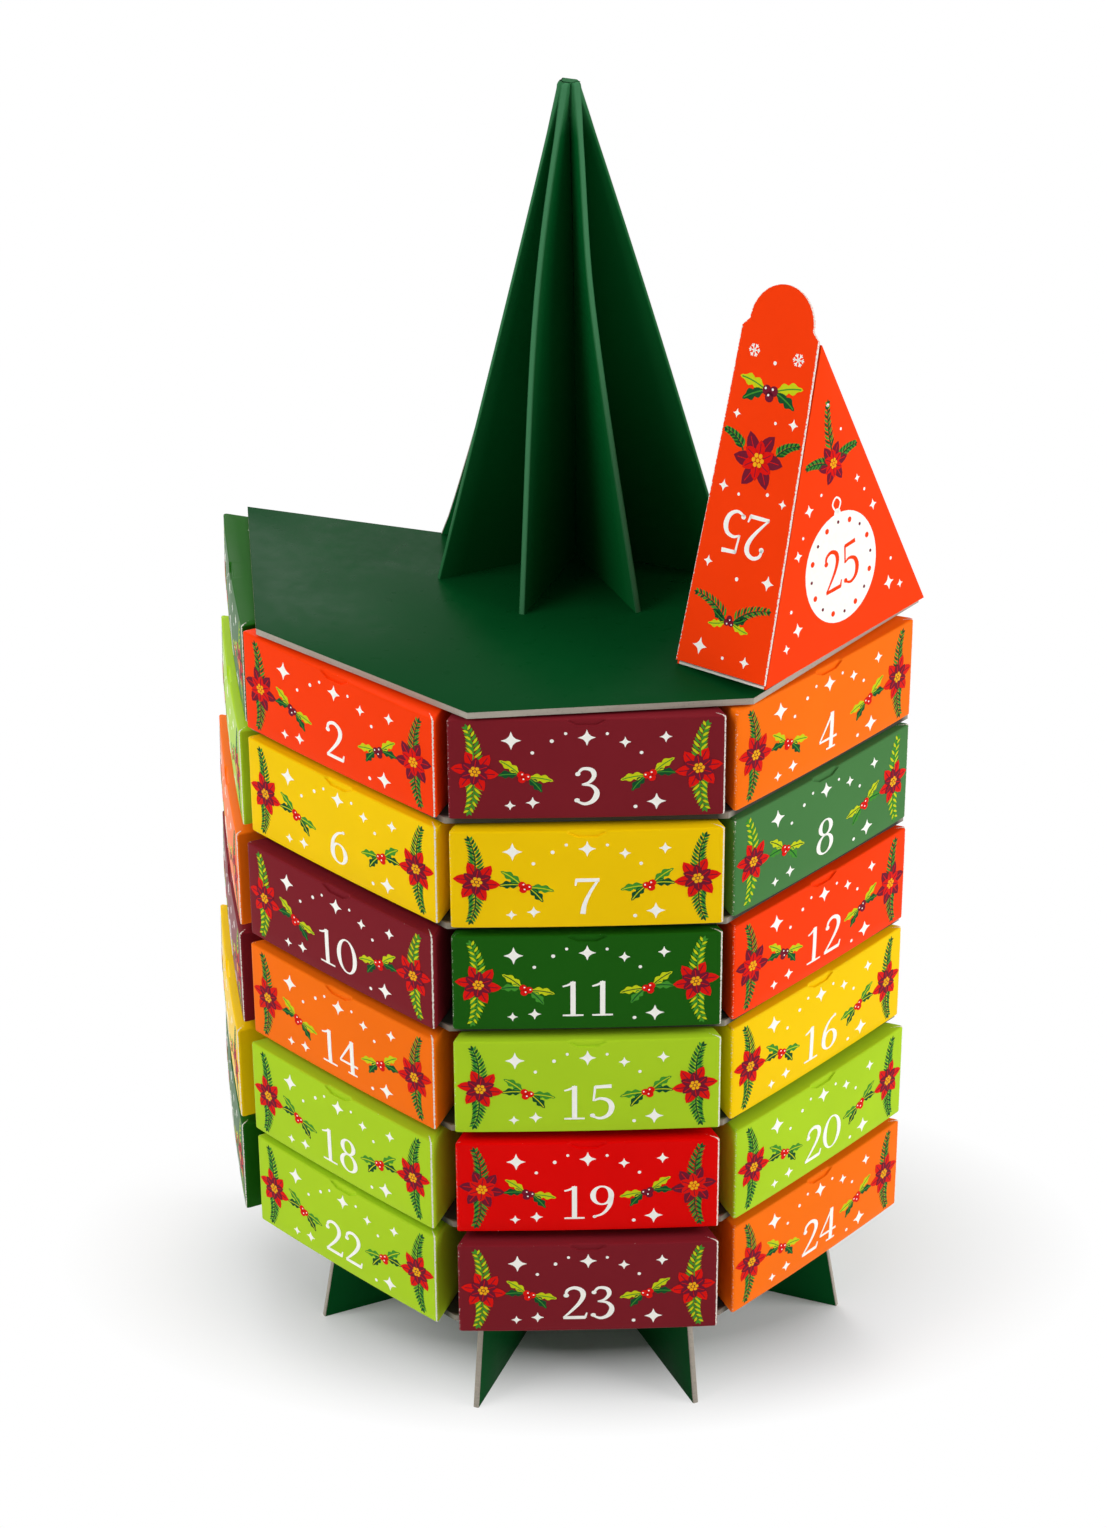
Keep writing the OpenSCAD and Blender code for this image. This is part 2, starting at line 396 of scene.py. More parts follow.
def make_piece(name, shells, finishes, body, replaced=(), weld=True, sharp=35):
    """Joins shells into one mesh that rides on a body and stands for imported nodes."""
    starts = np.cumsum([0] + [len(part[0]) for part in shells])
    points = np.concatenate([part[0] for part in shells])
    quads = np.concatenate([part[1] + start for part, start in zip(shells, starts)])
    mesh = bpy.data.meshes.new(name)
    mesh.from_pydata(points, [], quads.tolist())
    kinds = np.concatenate([part[2] for part in shells]).astype(np.int32)
    mesh.polygons.foreach_set("material_index", kinds)
    # Per point: bare carton edges, and the painted highlight on the fins' edges
    raw = mesh.attributes.new("raw_edge", "FLOAT", "POINT")
    bare = np.concatenate([part[3] for part in shells]).astype(np.float32)
    raw.data.foreach_set("value", bare)
    if weld:
        merge_doubles(mesh)
    for finish in finishes:
        mesh.materials.append(finish)
    mesh.shade_smooth()
    mesh.set_sharp_from_angle(angle=math.radians(sharp))
    mesh.update()
    piece = bpy.data.objects.new(name, mesh)
    bpy.context.scene.collection.objects.link(piece)
    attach(piece, body)
    if replaced:
        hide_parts(*replaced)
    return piece


def merge_doubles(mesh):
    """Closes the poles and seams of a grid, where points fall together."""
    work = bmesh.new()
    work.from_mesh(mesh)
    bmesh.ops.remove_doubles(work, verts=work.verts, dist=1e-6)
    bmesh.ops.dissolve_degenerate(work, edges=work.edges, dist=1e-7)
    work.to_mesh(mesh)
    work.free()


# Finishes

SOCKETS = {
    "base_color": "Base Color",
    "roughness": "Roughness",
    "specular_ior_level": "Specular IOR Level",
}


class Finish:
    """A material under construction, with short names for the nodes that the finishes share."""

    def __init__(self, name):
        self.material = bpy.data.materials.new(name)
        self.material.use_nodes = True
        self.tree = self.material.node_tree
        self.shader = self.tree.nodes["Principled BSDF"]
        self.where = self.node("ShaderNodeTexCoord").outputs["Object"]

    def node(self, kind, **settings):
        made = self.tree.nodes.new(kind)
        for name, value in settings.items():
            setattr(made, name, value)
        return made

    def link(self, source, socket):
        self.tree.links.new(source, socket)

    def stretched(self, scale):
        """Coordinates scaled by axis, for grain that runs one way."""
        mapping = self.node("ShaderNodeMapping")
        mapping.inputs["Scale"].default_value = scale
        self.link(self.where, mapping.inputs["Vector"])
        return mapping.outputs["Vector"]

    def noise(self, per_metre, detail=2.0, where=None):
        made = self.node("ShaderNodeTexNoise")
        made.inputs["Scale"].default_value = per_metre
        made.inputs["Detail"].default_value = detail
        self.link(where or self.where, made.inputs["Vector"])
        return made.outputs["Fac"]

    def span(self, value, low, high, to_low=0.0, to_high=1.0):
        """A value's range from low to high, carried to another range and clamped."""
        made = self.node("ShaderNodeMapRange")
        made.inputs["From Min"].default_value = low
        made.inputs["From Max"].default_value = high
        made.inputs["To Min"].default_value = to_low
        made.inputs["To Max"].default_value = to_high
        self.link(value, made.inputs["Value"])
        return made.outputs["Result"]

    def math(self, operation, first, second):
        made = self.node("ShaderNodeMath", operation=operation)
        for socket, value in zip(made.inputs, (first, second)):
            if isinstance(value, float):
                socket.default_value = value
            else:
                self.link(value, socket)
        return made.outputs["Value"]

    def mix(self, share, first, second):
        """Two colours mixed by a share that varies over the surface."""
        made = self.node("ShaderNodeMix", data_type="RGBA")
        self.link(share, made.inputs[0])
        for socket, value in ((made.inputs[6], first), (made.inputs[7], second)):
            if isinstance(value, bpy.types.NodeSocket):
                self.link(value, socket)
            else:
                socket.default_value = (*value, 1.0)
        return made.outputs[2]

    def attribute(self, name):
        return self.node("ShaderNodeAttribute", attribute_name=name).outputs["Fac"]

    def bump(self, height, strength, distance):
        made = self.node("ShaderNodeBump")
        made.inputs["Strength"].default_value = strength
        made.inputs["Distance"].default_value = distance
        self.link(height, made.inputs["Height"])
        self.link(made.outputs["Normal"], self.shader.inputs["Normal"])

    def set(self, **values):
        """Constant values go straight to the shader's sockets, and fields are linked."""
        for name, value in values.items():
            socket = self.shader.inputs[SOCKETS[name]]
            if isinstance(value, bpy.types.NodeSocket):
                self.link(value, socket)
            else:
                socket.default_value = value


def shaded(base, by):
    return tuple(min(1.0, channel * by) for channel in base)


def printed_board(name, base, white, roughness, shine):
    """Varnished print on carton board: faint clouding, paper tooth, white where an edge is bare."""
    finish = Finish(name)
    cloud = finish.noise(45, 3)
    fleck = finish.noise(2600, 1)
    tint = finish.mix(cloud, shaded(base, 0.94), shaded(base, 1.06))
    bare = finish.math("ADD", finish.attribute("raw_edge"), finish.math("MULTIPLY", fleck, 0.7))
    worn = finish.span(bare, 0.83, 0.95)
    finish.set(base_color=finish.mix(worn, tint, white), specular_ior_level=shine)
    gloss = finish.span(cloud, 0.3, 0.7, roughness - 0.04, roughness + 0.05)
    finish.set(roughness=finish.math("ADD", gloss, finish.math("MULTIPLY", worn, 0.35)))
    finish.bump(finish.noise(1400, 3), 0.12, 0.00012)
    return finish.material


def ink(name, base, roughness, shine):
    """Printing ink: the colour with a faint uneven lay-down, under the same varnish."""
    finish = Finish(name)
    lay = finish.noise(900, 2)
    tint = finish.mix(lay, shaded(base, 0.93), shaded(base, 1.05))
    finish.set(base_color=tint, specular_ior_level=shine)
    finish.set(roughness=finish.span(lay, 0.3, 0.7, roughness - 0.03, roughness + 0.06))
    finish.bump(finish.noise(1400, 3), 0.12, 0.00012)
    return finish.material


def green_paper(name, base, edge, shine, roughness):
    """Dark satin covering paper with a fine laid grain, slightly uneven gloss, and a paler edge
    green painted in as a highlight where the edge value is set.
    """
    finish = Finish(name)
    cloud = finish.noise(30, 3)
    grain = finish.noise(220, 4, finish.stretched((1, 1, 9)))
    tint = finish.mix(cloud, shaded(base, 0.88), shaded(base, 1.14))
    # Painted highlight: the paler edge green mixed in where the fins' edge value is set
    tint = finish.mix(finish.attribute("raw_edge"), tint, edge)
    finish.set(base_color=tint, specular_ior_level=shine)
    finish.set(roughness=finish.span(grain, 0.3, 0.7, roughness - 0.04, roughness + 0.08))
    finish.bump(finish.noise(1700, 3), 0.07, 0.00012)
    return finish.material


def raw_board(name, base):
    """Cut or uncovered grey board: layered fibres, light and dark flecks, no gloss."""
    finish = Finish(name)
    layers = finish.noise(160, 4, finish.stretched((1, 1, 14)))
    fleck = finish.noise(1800, 2)
    body = finish.mix(layers, shaded(base, 0.80), shaded(base, 1.16))
    dots = finish.span(fleck, 0.60, 0.72, 0.0, 0.6)
    finish.set(base_color=finish.mix(dots, body, shaded(base, 0.62)), roughness=0.86)
    finish.bump(fleck, 0.35, 0.0002)
    return finish.material


def shelf_board(name, base, bare, reach):
    """Board painted dark as the shade that falls between the tiers; its outermost corners keep the
    grey board's own colour.
    """
    finish = Finish(name)
    radius = finish.node("ShaderNodeVectorMath", operation="LENGTH")
    finish.link(finish.stretched((1, 1, 0)), radius.inputs[0])
    # The outermost corners stick out of the painted shade and keep the grey board's colour
    unshaded_corners = finish.span(radius.outputs["Value"], reach - 1.0 * MM, reach - 0.2 * MM, 0.0, 0.7)
    fibre = finish.noise(700, 3)
    body = finish.mix(fibre, shaded(base, 0.8), shaded(base, 1.2))
    finish.set(base_color=finish.mix(unshaded_corners, body, bare), roughness=0.86)
    finish.bump(fibre, 0.3, 0.0002)
    return finish.material


def sachet_paper(name, base, tea):
    """Thin filter paper: long fibres, and tea leaves that show through as soft dark patches."""
    finish = Finish(name)
    leaves = finish.span(finish.noise(420, 3), 0.5, 0.72, 0.0, 0.5)
    fibre = finish.noise(1300, 4, finish.stretched((1, 3, 1)))
    paper = finish.mix(fibre, shaded(base, 0.9), shaded(base, 1.06))
    finish.set(base_color=finish.mix(leaves, paper, tea), roughness=0.8)
    finish.bump(fibre, 0.3, 0.0002)
    return finish.material


# Radial boards

def measured_fin(node):
    """A radial board's outline, read from its solid, and the heights of the tier boards."""
    low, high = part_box("top_board")
    shelves = np.unique(np.round(node_points("shelf_boards")[:, 2], 5)).reshape(-1, 2)
    points = node_points(node)
    reach = np.hypot(points[:, 0], points[:, 1])
    height = points[:, 2]

    def radius_at(level):
        return float(reach[np.abs(height - level) < 2e-5].max())
    return {
        "foot": radius_at(0),
        "shoulder": radius_at(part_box("bottom_board")[0].z),
        "shoulder_z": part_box("bottom_board")[0].z,
        "divider": radius_at(low.z),
        "tree": radius_at(high.z),
        "top_low": low.z,
        "top_high": high.z,
        "tip_z": height.max(),
        "shelves": shelves,
    }


# Rows of a fin's grid in the tree, its step at a shelf, the height of its rounded tip, and the rows
# of that rounding in millimetres, down from the top and in from the tip's radius
TREE_ROWS = 24
SHELF_STEP = 2 * MM
TIP_CAP = 2 * MM
TIP_ROUND = ((1.0, 0.15), (0.35, 0.5), (0.0, 1.0))


def fin_stations(fin, tip_radius):
    """Heights and radii up the outer edge: foot, divider with a step at each shelf, tree."""
    sharp = 0.05 * MM
    notch = fin["divider"] - SHELF_STEP
    rows = [(0, fin["foot"]), (fin["shoulder_z"], fin["shoulder"])]
    rows.append((fin["shoulder_z"] + sharp, fin["divider"]))
    for low, high in fin["shelves"]:
        rows += [(low - sharp, fin["divider"]), (low, notch)]
        rows += [(high, notch), (high + sharp, fin["divider"])]
    rows += [(fin["top_low"] - sharp, fin["divider"]), (fin["top_low"], fin["tree"])]
    climb = np.linspace(0, 1, TREE_ROWS)
    tree_z = fin["top_high"] + climb * (fin["tip_z"] - TIP_CAP - fin["top_high"])
    tree_r = fin["tree"] + climb * (tip_radius - fin["tree"])
    rows += list(zip(tree_z, tree_r))
    for drop, back in TIP_ROUND:
        rows.append((fin["tip_z"] - drop * MM, tip_radius - back * MM))
    return np.array(rows)


# Each tree fin's sideways bow, half a sine wave and a whole one up its height, how far its outer
# edge is hollow, how far its tip stands aside, and how strong the painted highlight on its edge is
TREE_BOWS = ((0.4, 0.0, 1.6, 0.0, 0.0), (-0.6, 0.0, 0.0, 0.0, 0.45), (-3.4, 0.5, 0.0, 0.0, 1.0),
             (-2.6, 0.3, 0.0, 1.1, 1.0), (0.3, 0.0, 0.0, 0.0, 0.15))

# A fin's cross-section: points on each face, and round its nose how far each point lies back, how
# far it stands aside as a share of half the thickness, and how much of the painted edge highlight it
# takes
FACE_POINTS = 7
NOSE_BACK = (0.28, 0.0, 0.0, 0.28)
NOSE_ASIDE = (-0.86, -0.45, 0.45, 0.86)
EDGE_HIGHLIGHT = (0.06, 0.45, 1.0, 1.0, 0.45, 0.06)

# Shares of the tree's height over which a tip moves aside and over which it thickens, and by how
# much it thickens and pales there
TIP_ASIDE = (0.6, 0.92)
TIP_PINCH = (0.89, 0.98)
PINCH_THICK = 0.5
PINCH_PALE = 0.4


def smooth_step(value, low, high):
    """Nought below a range, one above it, and a cubic with level ends between."""
    share = np.clip((value - low) / (high - low), 0, 1)
    return share ** 2 * (3 - 2 * share)


def fin_shell(node, fin, look, bow, bare_edge):
    """A radial board: one cross-section, two faces and a rounded nose, carried up its outline.

    The tree's bow grows towards the outer edge, its tip leans over by the cube of the height, and
    near the tip the covering thickens until neighbours touch.
    """
    points = node_points(node)
    reach = np.hypot(points[:, 0], points[:, 1])
    far = points[reach > 0.999 * reach.max()].mean(0)
    place = Place((0, 0, 0), (far[0], far[1], 0))
    local = place.local(points)
    inner = local[:, 0].min()
    thick = local[:, 1].max()
    at_tip = local[:, 2] > fin["tip_z"] - TIP_CAP - 0.1 * MM
    rows = fin_stations(fin, float(local[at_tip, 0].max()))
    z, outer = rows[:, :1], rows[:, 1:]
    climb = np.clip((z - fin["top_high"]) / (fin["tip_z"] - fin["top_high"]), 0, 1)
    outer = outer - look.sway * bow[2] * np.sqrt(np.maximum(np.sin(np.pi * climb), 0))
    share = np.linspace(0, 1, FACE_POINTS)[None, :]
    face = inner + share * (outer - look.nose - inner)
    nose = outer - look.nose * np.array([NOSE_BACK])
    radius = np.concatenate([face, nose, face[:, ::-1]], 1)
    flat = np.ones(FACE_POINTS)
    side = thick * np.concatenate([-flat, NOSE_ASIDE, flat])[None, :]
    pinch = smooth_step(climb, *TIP_PINCH)
    side = side * (1 + PINCH_THICK * pinch)
    wave = bow[0] * np.sin(np.pi * climb) + bow[1] * np.sin(2 * np.pi * climb)
    wave = wave + bow[3] * smooth_step(climb, *TIP_ASIDE)
    sideways = look.sway * wave * np.clip(radius / outer, 0, 1) ** 1.5
    surface = place.world(radius, side + sideways, z)
    surface[..., 0] -= look.lean * climb ** 3
    count, columns = radius.shape
    quads = grid_quads(count, columns, wrap=True)
    column = np.tile(np.arange(columns), count - 1)
    row = np.repeat(np.arange(count - 1), columns)
    on_nose = (column >= FACE_POINTS - 1) & (column < FACE_POINTS + len(NOSE_BACK))
    in_tree = rows[:, 0] >= fin["top_low"]
    kinds = np.where(on_nose & (bare_edge | ~in_tree[row]), 1, 0)
    # The nose in the tree takes the paler edge green as a painted highlight, by each fin's share;
    # near the tip the whole board pales by a fixed share
    plain = np.zeros(FACE_POINTS - 1)
    tone = bow[4] * np.concatenate([plain, EDGE_HIGHLIGHT, plain])[None, :]
    raw = np.maximum(in_tree[:, None] * tone, PINCH_PALE * pinch)
    strip = np.arange(columns // 2 - 1)
    ends = np.stack([strip, columns - 1 - strip, columns - 2 - strip, strip + 1], -1)
    caps = np.concatenate([ends, ends[:, ::-1] + (count - 1) * columns])
    quads = np.concatenate([quads, caps])
    kinds = np.concatenate([kinds, np.repeat([1, 0], len(ends))])
    points = surface.reshape(-1, 3)
    return shell(points, outwards(points, quads), kinds, raw)


class CALENDAR_OT_radial_boards(Operator):
    """Make the five radial boards with their feet, dividers and tree fins"""
    bl_idname = "calendar.radial_boards"
    bl_label = "Radial boards"

    def execute(self, context):
        look = context.scene.calendar_boards
        finishes = [
            # The tree paper is made lighter as painted light on the fins' shaded faces
            green_paper("tree_green_paper", look.tree, look.green_edge, look.shine, 0.33),
            raw_board("fin_raw_edge", look.grey),
        ]
        for k, bow in enumerate(TREE_BOWS):
            node = f"radial_board_{k + 1}"
            part = fin_shell(node, measured_fin(node), look, bow, k == 0)
            make_piece(node + "_card", [part], finishes, "stand", [node])
        return {"FINISHED"}


# Tier boards

def board_corners(node):
    """Directions and radius of a half octagon board's five corners, from first to last."""
    points = node_points(node)
    reach = np.hypot(points[:, 0], points[:, 1])
    angle = np.arctan2(points[:, 1], points[:, 0])[reach > 0.995 * reach.max()]
    start = math.radians(170)
    unrolled = np.unique(np.round((angle - start) % (2 * math.pi), 3)) + start
    return reach.max() * np.stack([np.cos(unrolled), np.sin(unrolled)], -1)


def board_stations(corners, fin_reach):
    """Matching points on a board's back edge and its rim, from the first corner to the last.

    The back edge runs along the spine's flat side. Where the board is turned past the last radial
    board, the edge keeps to that board as far as fin_reach and then steps out to the corner.
    """
    first, last = corners[0], corners[-1]
    outside = last * fin_reach / np.linalg.norm(last)
    inside = np.array([outside[0], min(outside[1], 0.0)])
    spine = np.zeros(2)
    back = [first, first * 0.5, first * 0.2, spine, spine, spine, inside * 0.5, inside]
    back += [outside, outside * 0.3 + last * 0.7, last]
    along = [0, 0.5, 1, 1.5, 2, 2.5, 3, 3.4, 3.42, 3.8, 4]
    rim = [np.interp(along, range(5), corners[:, axis]) for axis in (0, 1)]
    return np.array(back), np.stack(rim, -1)


def board_shell(corners, low, high, look, fin_reach, kinds):
    """A flat board: its cross-section, two faces and two edges with eased arrises, is carried
    from the first corner to the last, between the back edge and the rim."""
    back, rim = board_stations(corners, fin_reach)
    gap = np.linalg.norm(rim - back, axis=1, keepdims=True)
    ease = np.minimum(0.45, look.nose / np.maximum(gap, 1e-9))
    side = look.nose * 0.5
    shares = np.concatenate(
        [0 * ease, 0 * ease, ease, 1 - ease, 1 + 0 * ease, 1 + 0 * ease, 1 - ease, ease], 1)
    levels = np.array([low + side, high - side, high, high, high - side, low + side, low, low])
    plan = back[:, None] + shares[..., None] * (rim - back)[:, None]
    rows, columns = shares.shape
    points = np.concatenate(
        [plan, np.broadcast_to(levels[None, :, None], (rows, columns, 1))], 2).reshape(-1, 3)
    quads = grid_quads(rows, columns, wrap=True)
    face, edge, under = kinds
    band = np.array([edge, face, face, face, edge, under, under, under])
    return shell(points, outwards(points, quads), np.tile(band, rows - 1))


class CALENDAR_OT_tier_boards(Operator):
    """Make the top board, the five shelf boards and the bottom board"""
    bl_idname = "calendar.tier_boards"
    bl_label = "Tier boards"

    def execute(self, context):
        look = context.scene.calendar_boards
        fin = measured_fin("radial_board_5")
        finishes = [
            green_paper("top_green_paper", look.green, look.green_edge, look.shine, 0.30),
            raw_board("tier_raw_board", look.grey),
        ]
        clear = 0.2 * MM
        top = board_shell(board_corners("top_board"), fin["top_low"], fin["top_high"], look,
                          fin["tree"] + clear, (0, 1, 1))
        make_piece("top_board_card", [top], finishes, "stand", ["top_board"])
        corners = board_corners("shelf_boards")
        reach = float(np.linalg.norm(corners[0]))
        # Shelf and bottom boards take a painted shade: dark but for their outer corners
        dark = [shelf_board("shelf_dark_board", look.shelf, look.grey, reach)]
        shelves = [
            board_shell(corners, low, high, look, fin["tree"], (0, 0, 0))
            for low, high in fin["shelves"]
        ]
        make_piece("shelf_boards_card", shelves, dark, "stand", ["shelf_boards"])
        low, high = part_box("bottom_board")
        bottom = board_shell(board_corners("bottom_board"), low.z, high.z, look,
                             fin["tree"], (0, 0, 0))
        make_piece("bottom_board_card", [bottom], dark, "stand", ["bottom_board"])
        return {"FINISHED"}


# Wedge cartons

# Print colour of each carton in turn; carton 8's is the dark green paled by painted sheen
CARTON_COLOURS = (
    "dark_green red_orange maroon orange "
    "lime yellow yellow mid_green "
    "orange maroon dark_green red_orange "
    "maroon orange lime yellow "
    "yellow lime red lime "
    "dark_green lime maroon orange "
    "red_orange"
).split()


def carton_colour(number):
    return CARTON_COLOURS[number - 1]


def carton_finish(look, name):
    """The printed board of one colour, made once and shared by the cartons of that colour."""
    title = "printed_" + name
    made = bpy.data.materials.get(title)
    if made:
        return made
    return printed_board(title, getattr(look, name), tuple(look.white_board), look.gloss, look.shine)


# A carton's grid: columns along each side and each front corner, rows on the floor and top panels
# and up the walls, turns of a fold, and drops of the lip's rows below the thumb notch
SIDE_POINTS = 6
BEND_POINTS = 3
FRONT_START = SIDE_POINTS + BEND_POINTS
PANEL_ROWS = 3
WALL_ROWS = 7
FOLD_TURNS = np.radians([0, 30, 60, 90])
LIP_DROPS = np.array([0.36, 0.30, 0.10, 0.02]) * MM

# How bare the board is along the left fold, the right fold and the level folds
LEFT_WEAR = 0.42
RIGHT_WEAR = (0.75, 0.52)
LEVEL_WEAR = 0.3


def front_spread(carton, look):
    """Distances of the front's columns from its middle, close together along the thumb notch."""
    width = carton.half - look.corner
    beside = look.notch_width / 2 + 0.4 * MM
    cut = 0.05 * MM
    return np.concatenate([
        np.linspace(-width, -beside, 11)[:-1],
        np.linspace(-beside, beside, 27),
        np.linspace(beside, width - cut, 11)[1:],
        [width],
    ])


def notch_depths(front_y, look):
    """Depth of the thumb notch at every column: full in its middle, chamfered at its ends."""
    depth = np.zeros(2 * FRONT_START + len(front_y) - 1)
    chamfer = look.notch_width / 4
    share = np.clip((look.notch_width / 2 - np.abs(front_y)) / chamfer, 0, 1)
    depth[FRONT_START:FRONT_START + len(front_y)] = look.notch_depth * share
    return depth


def carton_rows(carton, look, notch):
    """Height and inset of every row: from the middle of the floor panel over a quarter round fold,
    up the walls to the lip under the notch, over the top fold and in to the top's middle."""
    sine = math.sin(carton.angle)
    middle = (carton.front - carton.tip) * sine / (1 + sine)
    inward = np.array([middle, middle / 2, 4 * MM])
    fold, height = look.fold, carton.height
    fold_in, fold_up = fold * (1 - np.sin(FOLD_TURNS)), fold * (1 - np.cos(FOLD_TURNS))
    lip = height - fold - notch[None, :] - LIP_DROPS[:, None]
    wall = np.linspace(0, 1, WALL_ROWS + 2)[1:-1, None]
    flat = np.ones((1, len(notch)))
    level = np.concatenate([
        np.zeros((PANEL_ROWS, len(notch))),
        fold_up[:, None] * flat,
        fold + wall * (lip[:1] - fold),
        lip,
        (height - fold_up[::-1])[:, None] * flat,
        np.full((PANEL_ROWS, len(notch)), height),
    ])
    upright = np.zeros(WALL_ROWS + len(LIP_DROPS))
    inset = np.concatenate([inward, fold_in, upright, fold_in[::-1], inward[::-1]])
    return level, inset[:, None]


def quadratic(start, corner, end, share):
    """A quadratic curve from a start to an end, drawn towards a corner."""
    return (1 - share) ** 2 * start + 2 * share * (1 - share) * corner + share ** 2 * end


def wedge_plan(carton, look, inset, front_level, front_y):
    """Plan of every row, drawn in by its inset: two straight sides, corners as quadratic curves,
    and a front bulged as a parabola across and up."""
    sine, cosine = math.sin(carton.angle), math.cos(carton.angle)
    tip = carton.tip + inset / sine
    front = carton.front - inset
    half = (front - tip) * sine / cosine
    scale = half / carton.half
    reach = half / sine - look.corner * scale
    share = np.linspace(0, 1, SIDE_POINTS)[None, :]
    left = np.stack([tip + share * reach * cosine, -share * reach * sine], -1)
    across = front_y / carton.half
    up = 2 * front_level / carton.height - 1
    x = front + carton.crown * scale * (1 - across ** 2)
    x = x + look.bulge * (1 - up ** 2) * (1 - across ** 4)
    face = np.stack([x, front_y[None, :] * scale], -1)
    bend = np.linspace(0, 1, BEND_POINTS + 2)[1:-1][None, :, None]
    mirror = np.array([1, -1])
    side_end = left[:, -1:]
    corner = np.concatenate([front, -half], 1)[:, None]
    left_bend = quadratic(side_end, corner, face[:, :1], bend)
    right_bend = quadratic(face[:, -1:], corner * mirror, side_end * mirror, bend)
    return np.concatenate([left, left_bend, face, right_bend, left[:, :0:-1] * mirror], 1)


def carton_wear(rows, columns):
    """Bareness of a carton's grid: strong along the upright folds, weak along the level ones."""
    raw = np.zeros((rows, columns))
    walls = slice(PANEL_ROWS, rows - PANEL_ROWS)
    raw[walls, SIDE_POINTS:FRONT_START] = LEFT_WEAR
    right = columns - FRONT_START + 1
    raw[walls, right:right + len(RIGHT_WEAR)] = RIGHT_WEAR
    low = PANEL_ROWS + 1
    for row in (low, low + 1, rows - 2 - low, rows - 1 - low):
        raw[row] = np.maximum(raw[row], LEVEL_WEAR)
    return raw


def carton_shell(carton, look):
    """A folded wedge carton as one closed grid of plans. Above the thumb notch the rows of the lip
    and the top fold step back to the panel behind."""
    front_y = front_spread(carton, look)
    on_front = slice(FRONT_START, FRONT_START + len(front_y))
    notch = notch_depths(front_y, look)
    level, inset = carton_rows(carton, look, notch)
    rows, columns = level.shape
    plan = wedge_plan(carton, look, inset, level[:, on_front], front_y)
    open_share = np.clip(notch / (0.25 * look.notch_depth), 0, 1)
    top_panel = rows - PANEL_ROWS
    stepped = slice(top_panel - len(FOLD_TURNS) - 1, top_panel)
    plan[stepped, :, 0] -= look.notch_step * open_share
    x, y = carton.turned(plan[..., 0], plan[..., 1])
    points = carton.place.world(x, y, carton.floor + level)
    quads = grid_quads(rows, columns, wrap=True)
    return shell(points, quads, 0, carton_wear(rows, columns))


class CALENDAR_OT_cartons(Operator):
    """Make the 24 folded wedge cartons of the tower"""
    bl_idname = "calendar.cartons"
    bl_label = "Wedge cartons"

    def execute(self, context):
        look = context.scene.calendar_cartons
        for number in range(1, LAST):
            carton = Carton(number)
            name = carton_colour(number)
            make_piece(carton.node + "_carton", [carton_shell(carton, look)],
                       [carton_finish(look, name)], carton.node, [carton.node])
        return {"FINISHED"}


# Ornaments and numbers, drawn in millimetres as flat grids of points

INKS = ("cream", "scarlet", "wine", "fir", "leaf", "sprout", "gold", "ground")


def smooth_path(points, count):
    """A Catmull-Rom curve through a few points."""
    points = np.array(points, float)
    ends = [2 * points[0] - points[1], *points, 2 * points[-1] - points[-2]]
    padded = np.array(ends)
    at = np.linspace(0, len(points) - 1, count)
    start = np.minimum(at.astype(int), len(points) - 2)
    t = (at - start)[:, None]
    a, b, c, d = (padded[start + k] for k in range(4))
    return 0.5 * (2 * b + (c - a) * t + (2 * a - 5 * b + 4 * c - d) * t ** 2
                  + (3 * b - 3 * c + d - a) * t ** 3)


def ribbon(path, width):
    """A stroke: every path point is moved half a width to both sides along the normal."""
    run = np.gradient(path, axis=0)
    normal = np.stack([-run[:, 1], run[:, 0]], -1)
    normal /= np.maximum(np.linalg.norm(normal, axis=1, keepdims=True), 1e-9)
    half = np.broadcast_to(width, len(path))[:, None] / 2
    return np.stack([path - normal * half, path + normal * half])


def spot(radius_at, half_steps=3):
    """A patch round its middle: square rings of a grid pulled out to a radius by direction."""
    axis = np.linspace(-1, 1, 2 * half_steps + 1)
    a, b = np.meshgrid(axis, axis)
    ring = np.maximum(np.abs(a), np.abs(b))
    angle = np.arctan2(b, a)
    radius = ring * radius_at(angle)
    return np.stack([radius * np.cos(angle), radius * np.sin(angle)], -1)


def dot(size, half_steps=2):
    return spot(lambda angle: size + 0 * angle, half_steps)


def star(size):
    """A four point star: a superellipse with an exponent under one, so that its sides curve in."""
    power = 0.62

    def radius(angle):
        total = np.abs(np.cos(angle)) ** power + np.abs(np.sin(angle)) ** power
        return size / total ** (1 / power)
    return spot(radius)


def leaf(reach, half_width, curl=0.0, spikes=0):
    """A leaf: half widths along a curved midrib follow a sine, with spikes for holly."""
    along = np.linspace(0, 1, 7 + 4 * spikes)
    rib = np.stack([reach * along, curl * reach * along * (1 - along) * 4], -1)
    width = half_width * np.sin(np.pi * along) ** 0.75
    if spikes:
        width = width * (0.52 + 0.48 * np.abs(np.cos((spikes + 1) * np.pi * along)) ** 1.4)
    return ribbon(rib, 2 * width), rib


def moved(patches, u, v, turn=0.0, size=1.0, flip=False):
    """Patches scaled, mirrored if asked, turned by degrees and carried to a point."""
    angle = math.radians(turn)
    spin = np.array([[math.cos(angle), math.sin(angle)], [-math.sin(angle), math.cos(angle)]])
    mirror = np.array([-1.0 if flip else 1.0, 1.0])
    return [(name, layer, (grid * size @ spin) * mirror + (u, v))
            for name, layer, grid in patches]


